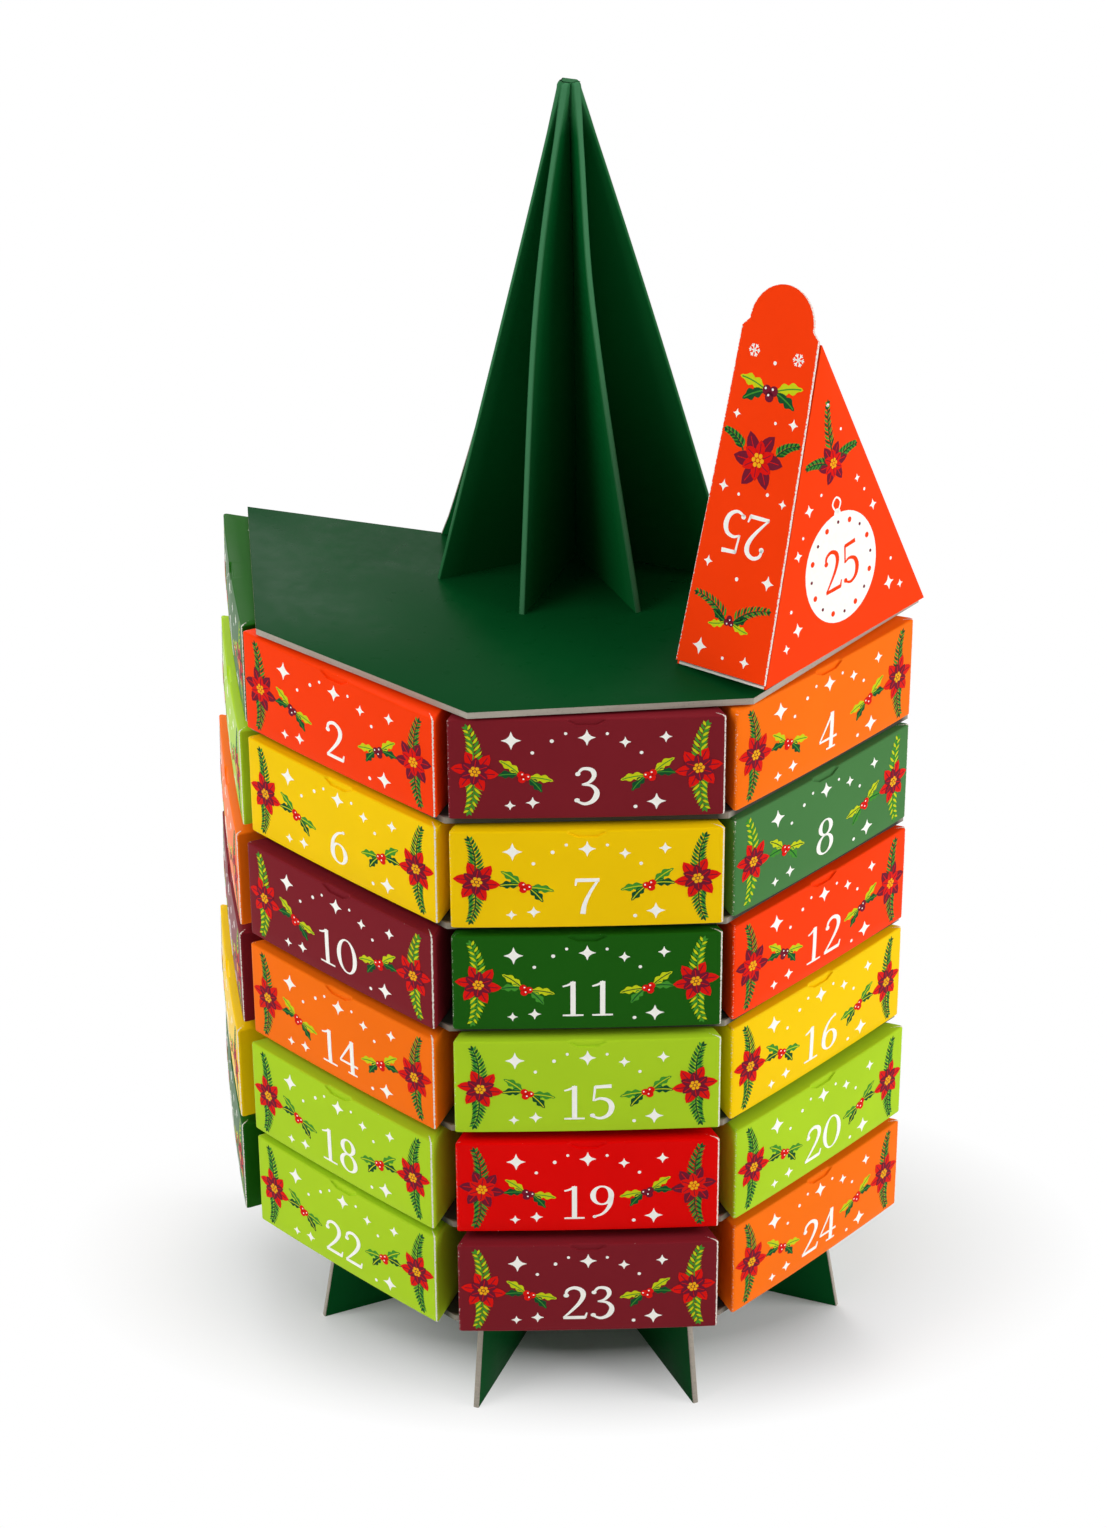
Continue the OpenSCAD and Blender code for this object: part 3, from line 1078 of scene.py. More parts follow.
def holly(palette):
    """Two pairs of spiked leaves that point left and right, and three berries."""
    patches = []
    upper, lower, vein = palette["holly"]
    for tilt, tone, reach in ((14, upper, 7.6), (-26, lower, 6.6)):
        blade, rib = leaf(reach, 1.5, 0.05, 2)
        one = [(tone, 0, blade), (vein, 1, ribbon(rib[:-1], 0.28))]
        patches += moved(one, 1.1, 0.1, tilt)
        patches += moved(one, -1.1, 0.1, tilt, flip=True)
    for u, v in ((-0.95, 0.2), (0.95, 0.2), (0, -1.15)):
        patches += moved([(palette["berry"], 2, dot(1.12))], u, v)
        patches += moved([("cream", 3, dot(0.26))], u - 0.3, v + 0.35)
    return patches


def poinsettia(palette, radius):
    """Six broad petals, six smaller ones turned between them, and a heart of gold dots."""
    outer, outer_rib = leaf(radius, 0.25 * radius, 0.04)
    inner, inner_rib = leaf(0.66 * radius, 0.19 * radius, -0.04)
    patches = []
    for k in range(6):
        one = [(palette["petal"], 1, outer), (palette["shade"], 2, ribbon(outer_rib[1:-1], 0.2))]
        patches += moved(one, 0, 0, 60 * k)
        two = [(palette["shade"], 3, inner), (palette["petal"], 4, ribbon(inner_rib[1:-1], 0.18))]
        patches += moved(two, 0, 0, 60 * k + 30)
        turn = math.radians(60 * k)
        patches += moved([("gold", 5, dot(0.08 * radius, 1))], 0.17 * radius * math.cos(turn),
                         0.17 * radius * math.sin(turn))
    return patches + [("gold", 5, dot(0.07 * radius, 1))]


def fir_bough(reach, tones, curl=0.1, needle=3.2):
    """A curved twig with needles on both sides that shorten towards its end."""
    at = np.linspace(0, 1, 12)
    rib = np.stack([reach * at, curl * reach * at * (1 - at) * 4], -1)
    patches = [(tones[0], 1, ribbon(rib, 0.42 - 0.2 * at))]
    lean = np.degrees(np.arctan2(*np.gradient(rib, axis=0).T[::-1]))
    for k, share in enumerate(at[1:]):
        size = needle * (1 - 0.55 * share)
        blade, _ = leaf(size, 0.34, 0.05)
        for side in (1, -1):
            tone = tones[(k + (side > 0)) % 2]
            patches += moved([(tone, 0, blade[:, ::2])], *rib[k + 1], lean[k + 1] + side * 42)
    tip, _ = leaf(needle * 0.5, 0.34)
    return patches + moved([(tones[0], 0, tip[:, ::2])], *rib[-1], lean[-1])


def snowflake(size):
    """Three crossed bars, each end with a pair of short barbs."""
    patches = []
    for k in range(6):
        bar = ribbon(np.array([[0, 0], [size, 0]]), 0.3)
        one = [("cream", 0, bar)]
        for side in (1, -1):
            barb = np.array([[0.55 * size, 0], [0.85 * size, 0.3 * side * size]])
            one.append(("cream", 0, ribbon(barb, 0.26)))
        patches += moved(one, 0, 0, 60 * k)
    return patches


def stars(places):
    return [patch for u, v, size in places for patch in moved([("cream", 0, star(size))], u, v)]


def dots(places):
    return [patch for u, v, size in places for patch in moved([("cream", 0, dot(size))], u, v)]


# Each numeral has its advance and its strokes, for a height of one: the points that a pen goes
# through with its width at both ends and halfway, or a ring's middle and two radii.
NUMERALS = {
    "0": (0.60, [("ring", 0.30, 0.49, 0.235, 0.465)]),
    "1": (0.60, [
        ("pen", ((0.31, 0.0), (0.31, 0.97)), (0.105, 0.105, 0.105)),
        ("pen", ((0.10, 0.02), (0.52, 0.02)), (0.04, 0.05, 0.04)),
        ("pen", ((0.10, 0.84), (0.21, 0.88), (0.33, 0.965)), (0.035, 0.05, 0.06)),
    ]),
    "2": (0.60, [
        ("pen", ((0.10, 0.72), (0.14, 0.89), (0.29, 0.965), (0.44, 0.88), (0.47, 0.70),
                 (0.38, 0.48), (0.22, 0.25), (0.06, 0.05)), (0.05, 0.115, 0.04)),
        ("pen", ((0.05, 0.045), (0.52, 0.045)), (0.08, 0.09, 0.09)),
        ("pen", ((0.505, 0.03), (0.55, 0.19)), (0.06, 0.045, 0.03)),
        ("dot", 0.115, 0.735, 0.058),
    ]),
    "3": (0.56, [
        ("pen", ((0.09, 0.82), (0.20, 0.95), (0.37, 0.92), (0.42, 0.76), (0.33, 0.60),
                 (0.18, 0.535)), (0.045, 0.105, 0.035)),
        ("pen", ((0.18, 0.535), (0.37, 0.50), (0.475, 0.33), (0.41, 0.11), (0.24, 0.015),
                 (0.07, 0.10)), (0.035, 0.12, 0.045)),
        ("dot", 0.10, 0.815, 0.052),
        ("dot", 0.085, 0.115, 0.055),
    ]),
    "4": (0.60, [
        ("pen", ((0.40, 0.97), (0.03, 0.30)), (0.06, 0.05, 0.04)),
        ("pen", ((0.02, 0.285), (0.55, 0.285)), (0.055, 0.06, 0.06)),
        ("pen", ((0.385, 0.0), (0.385, 0.97)), (0.105, 0.105, 0.105)),
        ("pen", ((0.25, 0.02), (0.52, 0.02)), (0.04, 0.05, 0.04)),
    ]),
    "5": (0.56, [
        ("pen", ((0.13, 0.93), (0.47, 0.95)), (0.085, 0.09, 0.10)),
        ("pen", ((0.135, 0.95), (0.10, 0.53)), (0.05, 0.045, 0.045)),
        ("pen", ((0.10, 0.54), (0.24, 0.60), (0.41, 0.53), (0.475, 0.34), (0.41, 0.12),
                 (0.24, 0.015), (0.06, 0.09)), (0.04, 0.12, 0.045)),
        ("dot", 0.08, 0.105, 0.055),
    ]),
    "6": (0.58, [
        ("pen", ((0.45, 0.93), (0.27, 0.83), (0.14, 0.62), (0.10, 0.34)), (0.04, 0.07, 0.11)),
        ("ring", 0.295, 0.29, 0.19, 0.265),
        ("dot", 0.445, 0.925, 0.04),
    ]),
    "7": (0.56, [
        ("pen", ((0.05, 0.925), (0.52, 0.925)), (0.09, 0.09, 0.09)),
        ("pen", ((0.065, 0.95), (0.045, 0.78)), (0.05, 0.045, 0.03)),
        ("pen", ((0.50, 0.93), (0.34, 0.60), (0.23, 0.28), (0.19, 0.0)), (0.045, 0.075, 0.11)),
    ]),
    "8": (0.58, [
        ("ring", 0.285, 0.75, 0.165, 0.205),
        ("ring", 0.285, 0.275, 0.205, 0.255),
    ]),
    "9": (0.58, [
        ("pen", ((0.475, 0.64), (0.44, 0.38), (0.31, 0.15), (0.12, 0.05)), (0.11, 0.07, 0.04)),
        ("ring", 0.285, 0.69, 0.19, 0.265),
        ("dot", 0.13, 0.055, 0.04),
    ]),
}


def stroke(kind, *form):
    """One stroke of a numeral: a ring thick at its sides, a ball, or a pen path that swells."""
    if kind == "dot":
        u, v, size = form
        return dot(size, 2) + (u, v)
    if kind == "ring":
        u, v, wide, tall = form
        turn = np.linspace(0, 2 * np.pi, 33)
        path = np.stack([u + wide * np.cos(turn), v + tall * np.sin(turn)], -1)
        return ribbon(path, 0.04 + 0.075 * np.cos(turn) ** 2)
    points, widths = form
    count = 9 if len(points) == 2 else 22
    path = smooth_path(points, count)
    return ribbon(path, np.interp(np.linspace(0, 1, count), (0, 0.5, 1), widths))


def number(value, tall, tone="cream", layer=2):
    """A number, centred both ways on its own middle."""
    digits = [NUMERALS[digit] for digit in str(value)]
    advance = np.cumsum([0] + [width for width, _ in digits])
    patches = []
    for start, (_, strokes) in zip(advance, digits):
        for form in strokes:
            grid = stroke(*form) + (start - advance[-1] / 2, -0.49)
            patches.append((tone, layer, grid * (1.16 * tall, tall)))
    return patches


def palette_for(name):
    """Petals, berries and twigs that stand out on a carton's colour."""
    warm = name in ("red_orange", "red")
    pale = name in ("lime", "yellow", "orange", "red_orange", "red")
    holly_tones = ("sprout", "fir", "leaf")
    if name in ("lime", "yellow"):
        holly_tones = ("leaf", "fir", "sprout")
    if name in ("dark_green", "mid_green"):
        holly_tones = ("sprout", "leaf", "fir")
    return {
        "holly": holly_tones,
        "petal": "wine" if warm else "scarlet",
        "shade": "scarlet" if warm else "wine",
        "berry": "wine" if warm else "scarlet",
        "twig": ("fir", "leaf") if pale else ("leaf", "sprout"),
    }


# Places and sizes of the stars and dots on each panel, in millimetres
FRONT_STARS = ((0, 23.0, 2.2), (-18.6, 22.4, 2.5), (17.2, 4.6, 2.4), (9.4, 21.6, 1.5),
               (-13.4, 4.8, 1.7), (19.4, 22.8, 1.6), (-19.0, 4.0, 1.4))
FRONT_DOTS = ((-8.6, 22.2, 0.5), (5.0, 24.0, 0.4), (-5.2, 24.2, 0.4), (12.0, 3.2, 0.5),
              (-13.4, 19.0, 0.45), (13.4, 18.6, 0.45))
TRIANGLE_STARS = ((-18.5, 10.5, 1.9), (18.5, 9.5, 2.0), (-16.0, 29, 1.5), (14.5, 32, 1.5),
                  (-10.5, 39, 1.7), (23.0, 7.5, 1.2), (-23.4, 7.2, 1.3), (9, 41, 1.1))
TRIANGLE_DOTS = ((11.5, 37.2, 0.4), (-13.6, 33, 0.4), (20, 15.5, 0.45), (-20.4, 16, 0.45),
                 (0, 63, 0.5), (-5.5, 41.5, 0.4), (4.2, 55.5, 0.4))
SIDE_STARS = ((-7.5, 6.0, 2.2), (6.8, 5.0, 1.5), (-9.6, 27.0, 1.4), (9.4, 25.4, 1.9),
              (-9.0, 46.0, 1.5), (9.6, 45.0, 1.2), (8.6, 64.4, 1.5), (-8.8, 64.0, 1.2))
SIDE_DOTS = ((0, 24.4, 0.5), (0, 4.6, 0.4), (-4, 44.8, 0.4), (4.6, 46.4, 0.45),
             (0, 78.0, 0.5), (3.2, 63.8, 0.4))

# Height of the numbers' middle on a front, and the medallion's middle, radius and ring of dots
NUMERAL_MIDDLE = 9.4
MEDALLION_V = 20.6
MEDALLION_R = 14.2
RING_R = 11.9
RING_DOTS = 16


def front_print(value, palette, tall):
    """A front's design, u from its middle and v from its lower edge: the number between two holly
    sprigs, and at both ends a poinsettia between two fir boughs."""
    patches = stars(FRONT_STARS) + dots(FRONT_DOTS)
    patches += moved(number(value, tall), 0, NUMERAL_MIDDLE)
    for flip in (False, True):
        end = []
        end += moved(fir_bough(11.0, palette["twig"], 0.08, 3.6), 28.4, 14.4, 86)
        end += moved(fir_bough(10.6, palette["twig"], -0.08, 3.6), 28.4, 13.2, -86)
        end += moved(poinsettia(palette, 6.0), 27.6, 13.8, 8)
        end += moved(holly(palette), 15.6, 12.4, 24, 0.86)
        patches += moved(end, 0, 0, flip=flip)
    return patches


def triangle_print(value, palette, tall):
    """A triangle's design, v from its base to its point: a white medallion with the number and a
    ring of dots, a poinsettia above it with boughs, and stars."""
    patches = [("cream", 0, dot(MEDALLION_R, 6))]
    for k in range(RING_DOTS):
        turn = 2 * math.pi * k / RING_DOTS
        size = 0.75 if k % 2 else 0.45
        tone = "ground" if k % 2 else palette["berry"]
        patches += moved([(tone, 1, dot(size, 1))], RING_R * math.cos(turn),
                         RING_R * math.sin(turn))
    patches += number(value, tall, "ground", 1)
    patches = moved(patches, 0, MEDALLION_V)
    knot = MEDALLION_V + MEDALLION_R
    loop = smooth_path([(0, knot), (-1.6, knot + 2.6), (0, knot + 4.2), (1.6, knot + 2.6),
                        (0, knot)], 25)
    patches.append(("cream", 0, ribbon(loop, 0.5)))
    patches += moved([("cream", 0, dot(1.3, 2))], 0, knot)
    for flip in (False, True):
        bough = moved(fir_bough(7.6, palette["twig"], 0.08, 2.8), 1.8, 48.0, 14)
        patches += moved(bough, 0, 0, flip=flip)
    patches += moved(fir_bough(12.0, palette["twig"], 0.05, 3.0), 0, 51.0, 90)
    patches += moved(poinsettia(palette, 5.6), 0, 48.0)
    return patches + stars(TRIANGLE_STARS) + dots(TRIANGLE_DOTS)


def side_print(value, palette, tall):
    """The design along a side of the standing carton, v from its base: the number hangs head
    down between fir boughs below and a poinsettia, holly and snowflakes above."""
    patches = moved(number(value, tall), 0, 35.5, 180)
    for flip in (False, True):
        bough = moved(fir_bough(11.0, palette["twig"], 0.1, 3.0), 1.0, 13.5, 28)
        patches += moved(bough, 0, 0, flip=flip)
    patches += moved(holly(palette), 0, 13.6, 180, 0.75)
    patches += moved(poinsettia(palette, 7.6), 0, 54.0)
    for flip in (False, True):
        twig = moved(fir_bough(7.0, palette["twig"], 0.1, 2.6), 5.0, 55.5, 35)
        patches += moved(twig, 0, 0, flip=flip)
    patches += moved(holly(palette), 0, 71.0, 0, 1.15)
    patches += moved(snowflake(1.7), -6.8, 80.0) + moved(snowflake(1.7), 6.8, 80.0)
    return patches + stars(SIDE_STARS) + dots(SIDE_DOTS)


def draped(patches, surface, film):
    """Lays patches on a panel: each is a thin solid, its top a few ink films above the panel and
    its underside one film below."""
    parts = []
    for name, layer, grid in patches:
        u, v = grid[..., 0] * MM, grid[..., 1] * MM
        top = surface(u, v, film * (layer + 1))
        parts.append(closed_sheet(top, surface(u, v, -film), INKS.index(name)))
    return parts


def ink_finishes(inks, cartons, name):
    """The shared inks, and last the carton's own colour for what is left unprinted."""
    finishes = []
    for title in INKS[:-1]:
        made = bpy.data.materials.get("ink_" + title)
        if not made:
            made = ink("ink_" + title, getattr(inks, title), cartons.gloss, cartons.shine)
        finishes.append(made)
    return finishes + [carton_finish(cartons, name)]


class CALENDAR_OT_prints(Operator):
    """Print the fronts and top panels of the 24 wedge cartons"""
    bl_idname = "calendar.prints"
    bl_label = "Carton prints"

    def execute(self, context):
        look, inks = context.scene.calendar_cartons, context.scene.calendar_inks
        tall = inks.numeral / MM
        for value in range(1, LAST):
            carton = Carton(value)
            name = carton_colour(value)
            palette = palette_for(name)
            parts = draped(front_print(value, palette, tall), carton.front_face(look), inks.film)
            parts += draped(triangle_print(value, palette, tall), carton.top_face(), inks.film)
            make_piece(carton.node + "_print", parts, ink_finishes(inks, look, name),
                       carton.node, weld=False)
        return {"FINISHED"}


# The standing carton and its lid

def folded_path(corners, soft):
    """A folded strip's path: straight runs, each inner corner eased by a quadratic curve."""
    corners = np.array(corners, float)
    path = [corners[:1]]
    bend = np.linspace(0, 1, 5)[:, None]
    for before, corner, after in zip(corners, corners[1:], corners[2:]):
        start = corner + soft * (before - corner) / np.linalg.norm(before - corner)
        end = corner + soft * (after - corner) / np.linalg.norm(after - corner)
        path.append(quadratic(start, corner, end, bend))
    return np.concatenate(path + [corners[-1:]])


def standing_strip(box, thick, soft):
    """Base and closed leg as one folded strip, carried straight across the carton's depth."""
    inset = thick / math.sin(box.angle)
    inner_corner = box.half - thick / math.tan((math.pi / 2 - box.angle) / 2)
    outer = folded_path([(-box.half, 0), (box.half, 0), (0, box.height)], soft)
    inner = folded_path([(-box.half, thick), (inner_corner, thick), (0, box.height - inset)], soft)
    share = np.array([0.0, 0.25, 0.75, 1.0])[None, :]

    def grid(path):
        y, z = path[:, :1], path[:, 1:]
        return box.place.world(thick + share * (box.depth_at(z) - 2 * thick), y, z)
    return closed_sheet(grid(outer), grid(inner), 0, 1, 1)


def standing_end(box, thick, outer):
    """A triangle panel beside the strip, ruled from leg to leg."""
    surface = box.end_face(outer)
    climb = np.linspace(0, box.height - 0.2 * MM, 20)[:, None]
    u = np.linspace(-1, 1, 11)[None, :] * (box.height - climb) * math.tan(box.angle)
    v = np.broadcast_to(climb, u.shape)
    return closed_sheet(surface(u, v, 0.0), surface(u, v, -thick), 0, 1, 0)


def lid_outline(box):
    """Half widths of the lid up its length: a panel with clipped corners, then a half round tab."""
    tab = box.lid_end - TAB_RADIUS
    flat = np.linspace(box.lid_start, tab - LID_CLIP, 16)
    turn = np.linspace(0, np.pi / 2, 24)
    panel = box.depth_at(flat * math.cos(box.angle)) / 2
    along = np.concatenate([flat, tab + TAB_RADIUS * np.sin(turn)])
    return along, np.concatenate([panel, TAB_RADIUS * np.cos(turn)])


def lid_shell(box):
    """The lid: a sheet ruled across between its two edges, bowed out a little at its tab."""
    surface = box.lid_surface()
    v, half = lid_outline(box)
    half = half[:, None]
    u = np.linspace(-1, 1, 9)[None, :] * np.maximum(half - RUB, 0.8 * half)
    u = np.concatenate([-half, u, half], 1)
    v = np.broadcast_to(v[:, None], u.shape)
    bare = np.zeros(u.shape)
    bare[:, [0, -1]] = BARE
    return closed_sheet(surface(u, v, 0.0), surface(u, v, -box.lid_thick), 0, 1, 0, bare)


class CALENDAR_OT_standing_carton(Operator):
    """Make the open carton on the top board, its lid, and the print on both"""
    bl_idname = "calendar.standing_carton"
    bl_label = "Standing carton and lid"

    def execute(self, context):
        look, inks = context.scene.calendar_cartons, context.scene.calendar_inks
        box = StandingCarton()
        name = carton_colour(LAST)
        finishes = [carton_finish(look, name), raw_board("carton_white_board", look.white_board)]
        parts = [standing_strip(box, look.board, look.fold)]
        parts += [standing_end(box, look.board, outer) for outer in (True, False)]
        make_piece("box_25_carton", parts, finishes, "box_25", ["box_25"],
                   weld=False)
        make_piece("lid_25_panel", [lid_shell(box)], finishes, "lid_25", ["lid_25"])
        palette = palette_for(name)
        tall = inks.numeral / MM
        prints = draped(triangle_print(LAST, palette, tall), box.end_face(True), inks.film)
        prints += draped(triangle_print(LAST, palette, tall), box.end_face(False), inks.film)
        prints += draped(side_print(LAST, palette, tall), box.leg_surface(), inks.film)
        shared = ink_finishes(inks, look, name)
        make_piece("box_25_print", prints, shared, "box_25", weld=False)
        lid_print = draped(side_print(LAST, palette, tall), box.lid_surface(), inks.film)
        make_piece("lid_25_print", lid_print, shared, "lid_25", weld=False)
        return {"FINISHED"}


# Tea sachets

def sachet_shell(place, plan, seal, crimp):
    """A pillow sachet on a tapered plan: both faces swell as a product of two flattened
    parabolas inside a flat seal, whose ripples run round it."""
    start, end, half_start, half_end, low, high = plan
    rows, columns = 49, 41
    u = np.linspace(0, 1, rows)[:, None]
    v = np.linspace(-1, 1, columns)[None, :]
    reach = end - start
    half = half_start + u * (half_end - half_start)
    to_end = np.minimum(u, 1 - u) * reach
    to_side = (1 - np.abs(v)) * half
    border = np.minimum(to_end, to_side)
    inside_u = np.clip((u * reach - seal) / (reach - 2 * seal), 0, 1)
    inside_v = np.clip(v * half / (half - seal), -1, 1)
    belly = np.sqrt(np.maximum(1 - (2 * inside_u - 1) ** 4, 0) * np.maximum(1 - inside_v ** 4, 0))
    ripple = np.where(border < seal, np.sin((u * reach + v * half) / (0.9 * MM)), 0.0) * crimp
    middle = low + 0.42 * (high - low)
    thin = 0.12 * MM
    shape = np.broadcast_to(belly, (rows, columns))
    top = middle + thin + (high - middle - thin) * shape + ripple * (1 - shape)
    under = middle - thin - (middle - low - thin) * shape + ripple * (1 - shape)
    x = np.broadcast_to(start + u * reach, shape.shape)
    y = v * half
    return closed_sheet(place(x, y, top), place(x, y, under))


def sachet_plan(local):
    """Start, end, half widths and faces of a sachet's solid in a frame with x along it."""
    x, y, z = local.T
    near = np.abs(x - x.min()) < 0.1 * MM
    return (x.min(), x.max(), y[near].max(), y.max(), z.min(), z.max())


def standing_frame(box):
    """Ways into and out of the standing sachet's frame, whose x runs down from the carton's point,
    y across it and z out from the tree."""
    def world(x, y, z):
        return box.place.world(z, y, box.height - x)

    def local(points):
        depth, across, climb = box.place.local(points).T
        return np.stack([box.height - climb, across, depth], -1)
    return world, local


class CALENDAR_OT_sachets(Operator):
    """Make the 25 tea sachets inside the cartons"""
    bl_idname = "calendar.sachets"
    bl_label = "Tea sachets"

    def execute(self, context):
        look = context.scene.calendar_sachets
        finishes = [sachet_paper("sachet_filter_paper", look.paper, tuple(look.tea))]
        for value in range(1, LAST + 1):
            node = f"sachet_{value:02d}"
            if value < LAST:
                place = Carton(value).place
                world, local = place.world, place.local
            else:
                world, local = standing_frame(StandingCarton())
            plan = sachet_plan(local(node_points(node)))
            part = sachet_shell(world, plan, look.seal, look.crimp)
            body = f"box_{value:02d}"
            piece = make_piece(node + "_pouch", [part], finishes, body, [node],
                               sharp=60)
        return {"FINISHED"}


# Stage

# Half axes of the floor's shaded ellipse, and the shares of them where the fade begins and ends
FLOOR_PATCH = (0.150, 0.087, 1)
FLOOR_FADE = (0.55, 1.0)
FLOOR_REACH = 4
FLOOR_POINTS = 9

# Name, place and size of each soft lamp, and the point that they face
LAMPS = (
    ("left", (-0.86, -0.80, 1.13), 0.9),
    ("right", (1.42, 0.13, 0.75), 0.9),
    ("top", (-0.18, 0.48, 1.58), 1.1),
    ("rim", (-0.85, 0.8, 0.85), 0.55),
)
LAMP_TARGET = (0, 0, 0.17)


def floor_finish(look):
    """A plain pale floor that fades to white light, for camera and mirror rays, away from the
    object, so that it keeps the shadow and has no horizon. The fade is an ellipse."""
    finish = Finish("studio_floor")
    finish.set(base_color=(*look.floor, 1.0), roughness=0.9)
    ellipse = finish.node("ShaderNodeMapping", vector_type="TEXTURE")
    ellipse.inputs["Rotation"].default_value = (0, 0, look.azimuth)
    ellipse.inputs["Scale"].default_value = FLOOR_PATCH
    finish.link(finish.where, ellipse.inputs["Vector"])
    distance = finish.node("ShaderNodeVectorMath", operation="LENGTH")
    finish.link(ellipse.outputs["Vector"], distance.inputs[0])
    far = finish.span(distance.outputs["Value"], *FLOOR_FADE)
    seen = seen_rays(finish)
    glow = finish.node("ShaderNodeEmission")
    mixed = finish.node("ShaderNodeMixShader")
    finish.link(finish.math("MULTIPLY", far, seen), mixed.inputs[0])
    finish.link(finish.shader.outputs["BSDF"], mixed.inputs[1])
    finish.link(glow.outputs["Emission"], mixed.inputs[2])
    finish.link(mixed.outputs["Shader"], finish.tree.nodes["Material Output"].inputs["Surface"])
    return finish.material


def seen_rays(finish):
    """One for camera, mirror and see-through rays, nought for the rays that light things."""
    path = finish.node("ShaderNodeLightPath")
    seen = finish.math("ADD", path.outputs["Is Camera Ray"], path.outputs["Is Glossy Ray"])
    return finish.math("MINIMUM", finish.math("ADD", seen, path.outputs["Is Transmission Ray"]),
                       1.0)


def studio_world(strength):
    """Even light from all round, and plain white where the camera or a reflection sees it."""
    world = bpy.data.worlds.new("studio")
    world.use_nodes = True
    tree = world.node_tree
    tree.nodes.clear()
    light, white = (tree.nodes.new("ShaderNodeBackground") for _ in range(2))
    light.inputs["Color"].default_value = (1, 1, 1, 1)
    light.inputs["Strength"].default_value = strength
    white.inputs["Color"].default_value = (1, 1, 1, 1)
    path = tree.nodes.new("ShaderNodeLightPath")
    total = path.outputs["Is Camera Ray"]
    for name in ("Is Glossy Ray", "Is Transmission Ray"):
        add = tree.nodes.new("ShaderNodeMath")
        add.use_clamp = True
        tree.links.new(total, add.inputs[0])
        tree.links.new(path.outputs[name], add.inputs[1])
        total = add.outputs["Value"]
    mixed = tree.nodes.new("ShaderNodeMixShader")
    tree.links.new(total, mixed.inputs[0])
    tree.links.new(light.outputs["Background"], mixed.inputs[1])
    tree.links.new(white.outputs["Background"], mixed.inputs[2])
    out = tree.nodes.new("ShaderNodeOutputWorld")
    tree.links.new(mixed.outputs["Shader"], out.inputs["Surface"])
    bpy.context.scene.world = world


def aimed(axes_back, axes_up):
    """A turn whose z axis points back along a line of sight and whose y axis is up."""
    back = np.array(axes_back, float) / np.linalg.norm(axes_back)
    right = np.cross(axes_up, back)
    right /= np.linalg.norm(right)
    return np.stack([right, np.cross(back, right), back], 1)


def set_pose(thing, place, turn):
    matrix = np.eye(4)
    matrix[:3, :3] = turn
    matrix[:3, 3] = place
    thing.matrix_world = Matrix(matrix.tolist())


def add_camera(look):
    """A camera turned, raised and rolled about the point that it looks at."""
    az, el = look.azimuth, look.elevation
    back = np.array([math.sin(az) * math.cos(el), -math.cos(az) * math.cos(el), math.sin(el)])
    right = np.array([math.cos(az), math.sin(az), 0.0])
    up = np.cross(back, right)
    rolled = -math.sin(look.roll) * right + math.cos(look.roll) * up
    aim = look.aim_right * right + np.array([0, 0, look.aim_up])
    data = bpy.data.cameras.new("photo_camera")
    data.lens = look.lens
    data.sensor_width = 36
    data.clip_start = 0.05
    camera = bpy.data.objects.new("photo_camera", data)
    bpy.context.scene.collection.objects.link(camera)
    set_pose(camera, aim + look.distance * back, aimed(back, rolled))
    bpy.context.scene.camera = camera


def add_softbox(name, place, target, size, power):
    """A square area lamp that faces a point."""
    data = bpy.data.lights.new(name, "AREA")
    data.size = size
    data.energy = power
    lamp = bpy.data.objects.new(name, data)
    bpy.context.scene.collection.objects.link(lamp)
    back = np.array(place, float) - np.array(target, float)
    set_pose(lamp, place, aimed(back, (0, 0, 1)))


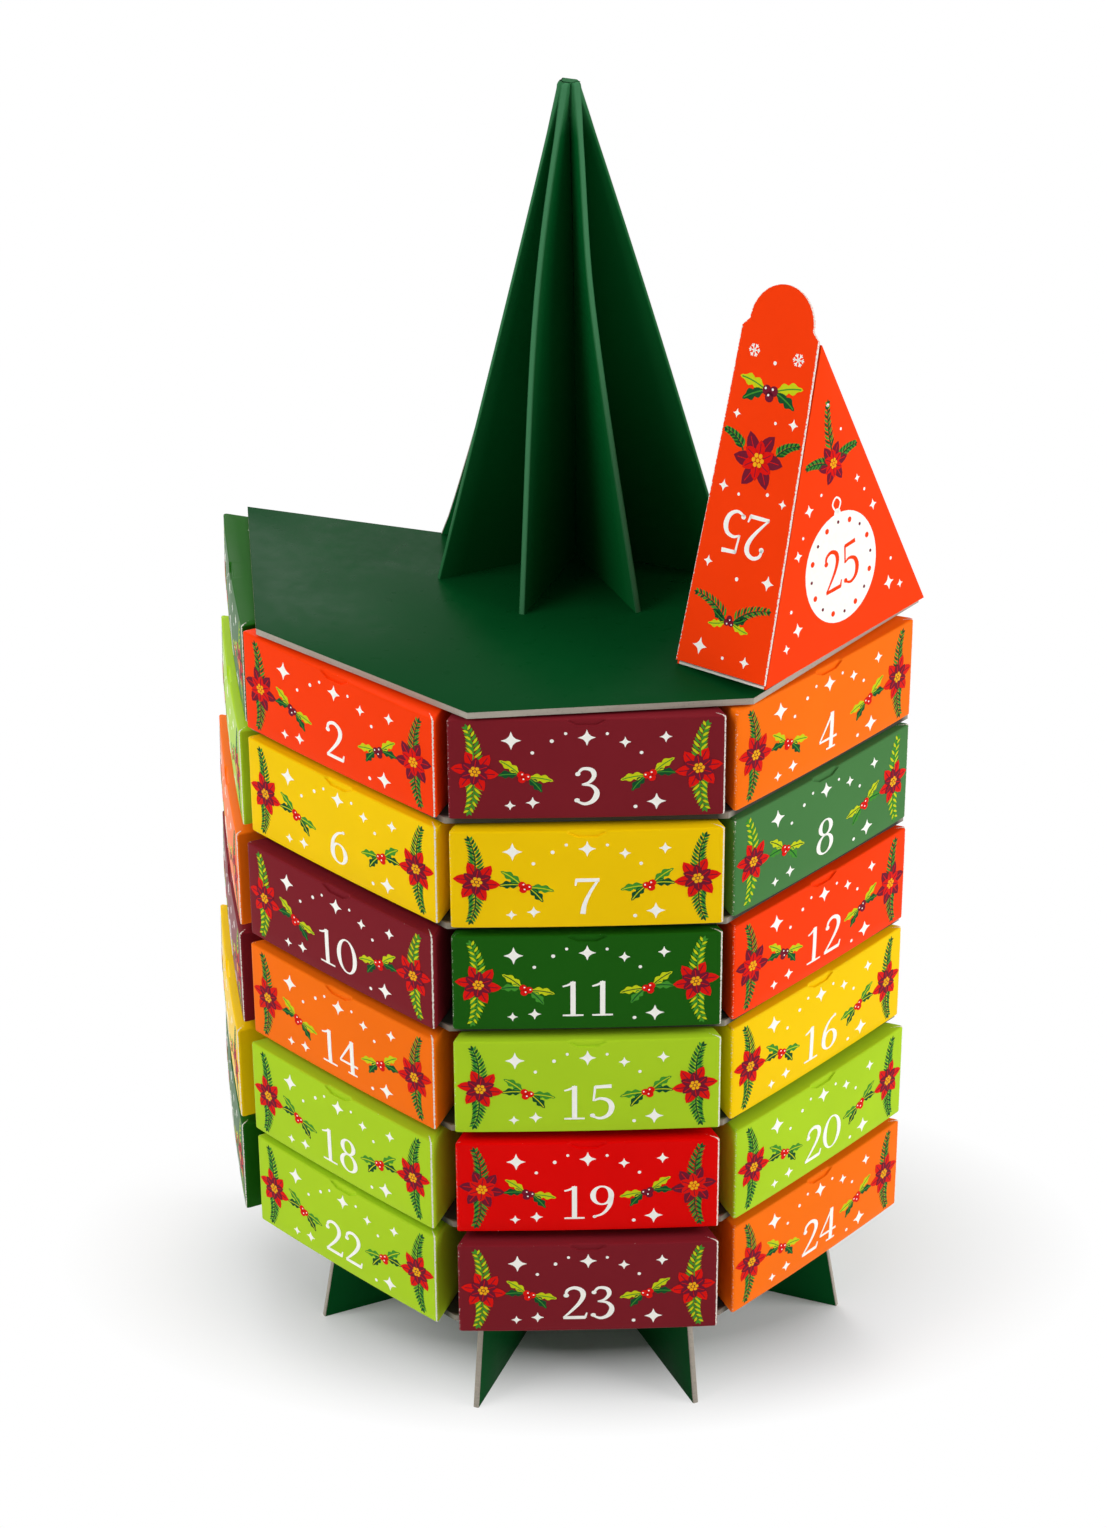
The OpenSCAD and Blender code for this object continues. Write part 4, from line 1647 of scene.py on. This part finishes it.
class CALENDAR_OT_stage(Operator):
    """Set up the camera, the floor, the even light and the soft lamps"""
    bl_idname = "calendar.stage"
    bl_label = "Stage"

    def execute(self, context):
        look = context.scene.calendar_stage
        context.scene.view_settings.view_transform = "Standard"
        add_camera(look)
        studio_world(look.sky)
        reach = np.linspace(-FLOOR_REACH, FLOOR_REACH, FLOOR_POINTS)
        x, y = np.meshgrid(reach, reach)
        mesh = bpy.data.meshes.new("studio_floor")
        points = np.stack([x, y, 0 * x], -1).reshape(-1, 3)
        mesh.from_pydata(points, [], grid_quads(FLOOR_POINTS, FLOOR_POINTS).tolist())
        mesh.materials.append(floor_finish(look))
        floor = bpy.data.objects.new("studio_floor", mesh)
        context.scene.collection.objects.link(floor)
        for name, place, size in LAMPS:
            add_softbox(name + "_softbox", place, LAMP_TARGET, size, getattr(look, name))
        return {"FINISHED"}


# Panel, registration and the run

OPERATORS = (
    CALENDAR_OT_stage,
    CALENDAR_OT_radial_boards,
    CALENDAR_OT_tier_boards,
    CALENDAR_OT_cartons,
    CALENDAR_OT_prints,
    CALENDAR_OT_standing_carton,
    CALENDAR_OT_sachets,
)


class CALENDAR_PT_sidebar(Panel):
    """Lists the operators in the order in which they run"""
    bl_idname = "CALENDAR_PT_sidebar"
    bl_label = "Tea advent calendar"
    bl_space_type = "VIEW_3D"
    bl_region_type = "UI"
    bl_category = "Calendar"

    def draw(self, context):
        for operator in OPERATORS:
            self.layout.operator(operator.bl_idname)


def register():
    for group in GROUPS.values():
        bpy.utils.register_class(group)
    for name, group in GROUPS.items():
        setattr(bpy.types.Scene, name, PointerProperty(type=group))
    for made in (*OPERATORS, CALENDAR_PT_sidebar):
        bpy.utils.register_class(made)


def unregister():
    for made in (CALENDAR_PT_sidebar, *reversed(OPERATORS)):
        bpy.utils.unregister_class(made)
    for name in GROUPS:
        delattr(bpy.types.Scene, name)
    for group in reversed(list(GROUPS.values())):
        bpy.utils.unregister_class(group)


def main():
    register()
    bpy.ops.calendar.stage()
    bpy.ops.calendar.radial_boards()
    bpy.ops.calendar.tier_boards()
    bpy.ops.calendar.cartons()
    bpy.ops.calendar.prints()
    bpy.ops.calendar.standing_carton()
    bpy.ops.calendar.sachets()


if __name__ == "__main__":
    main()
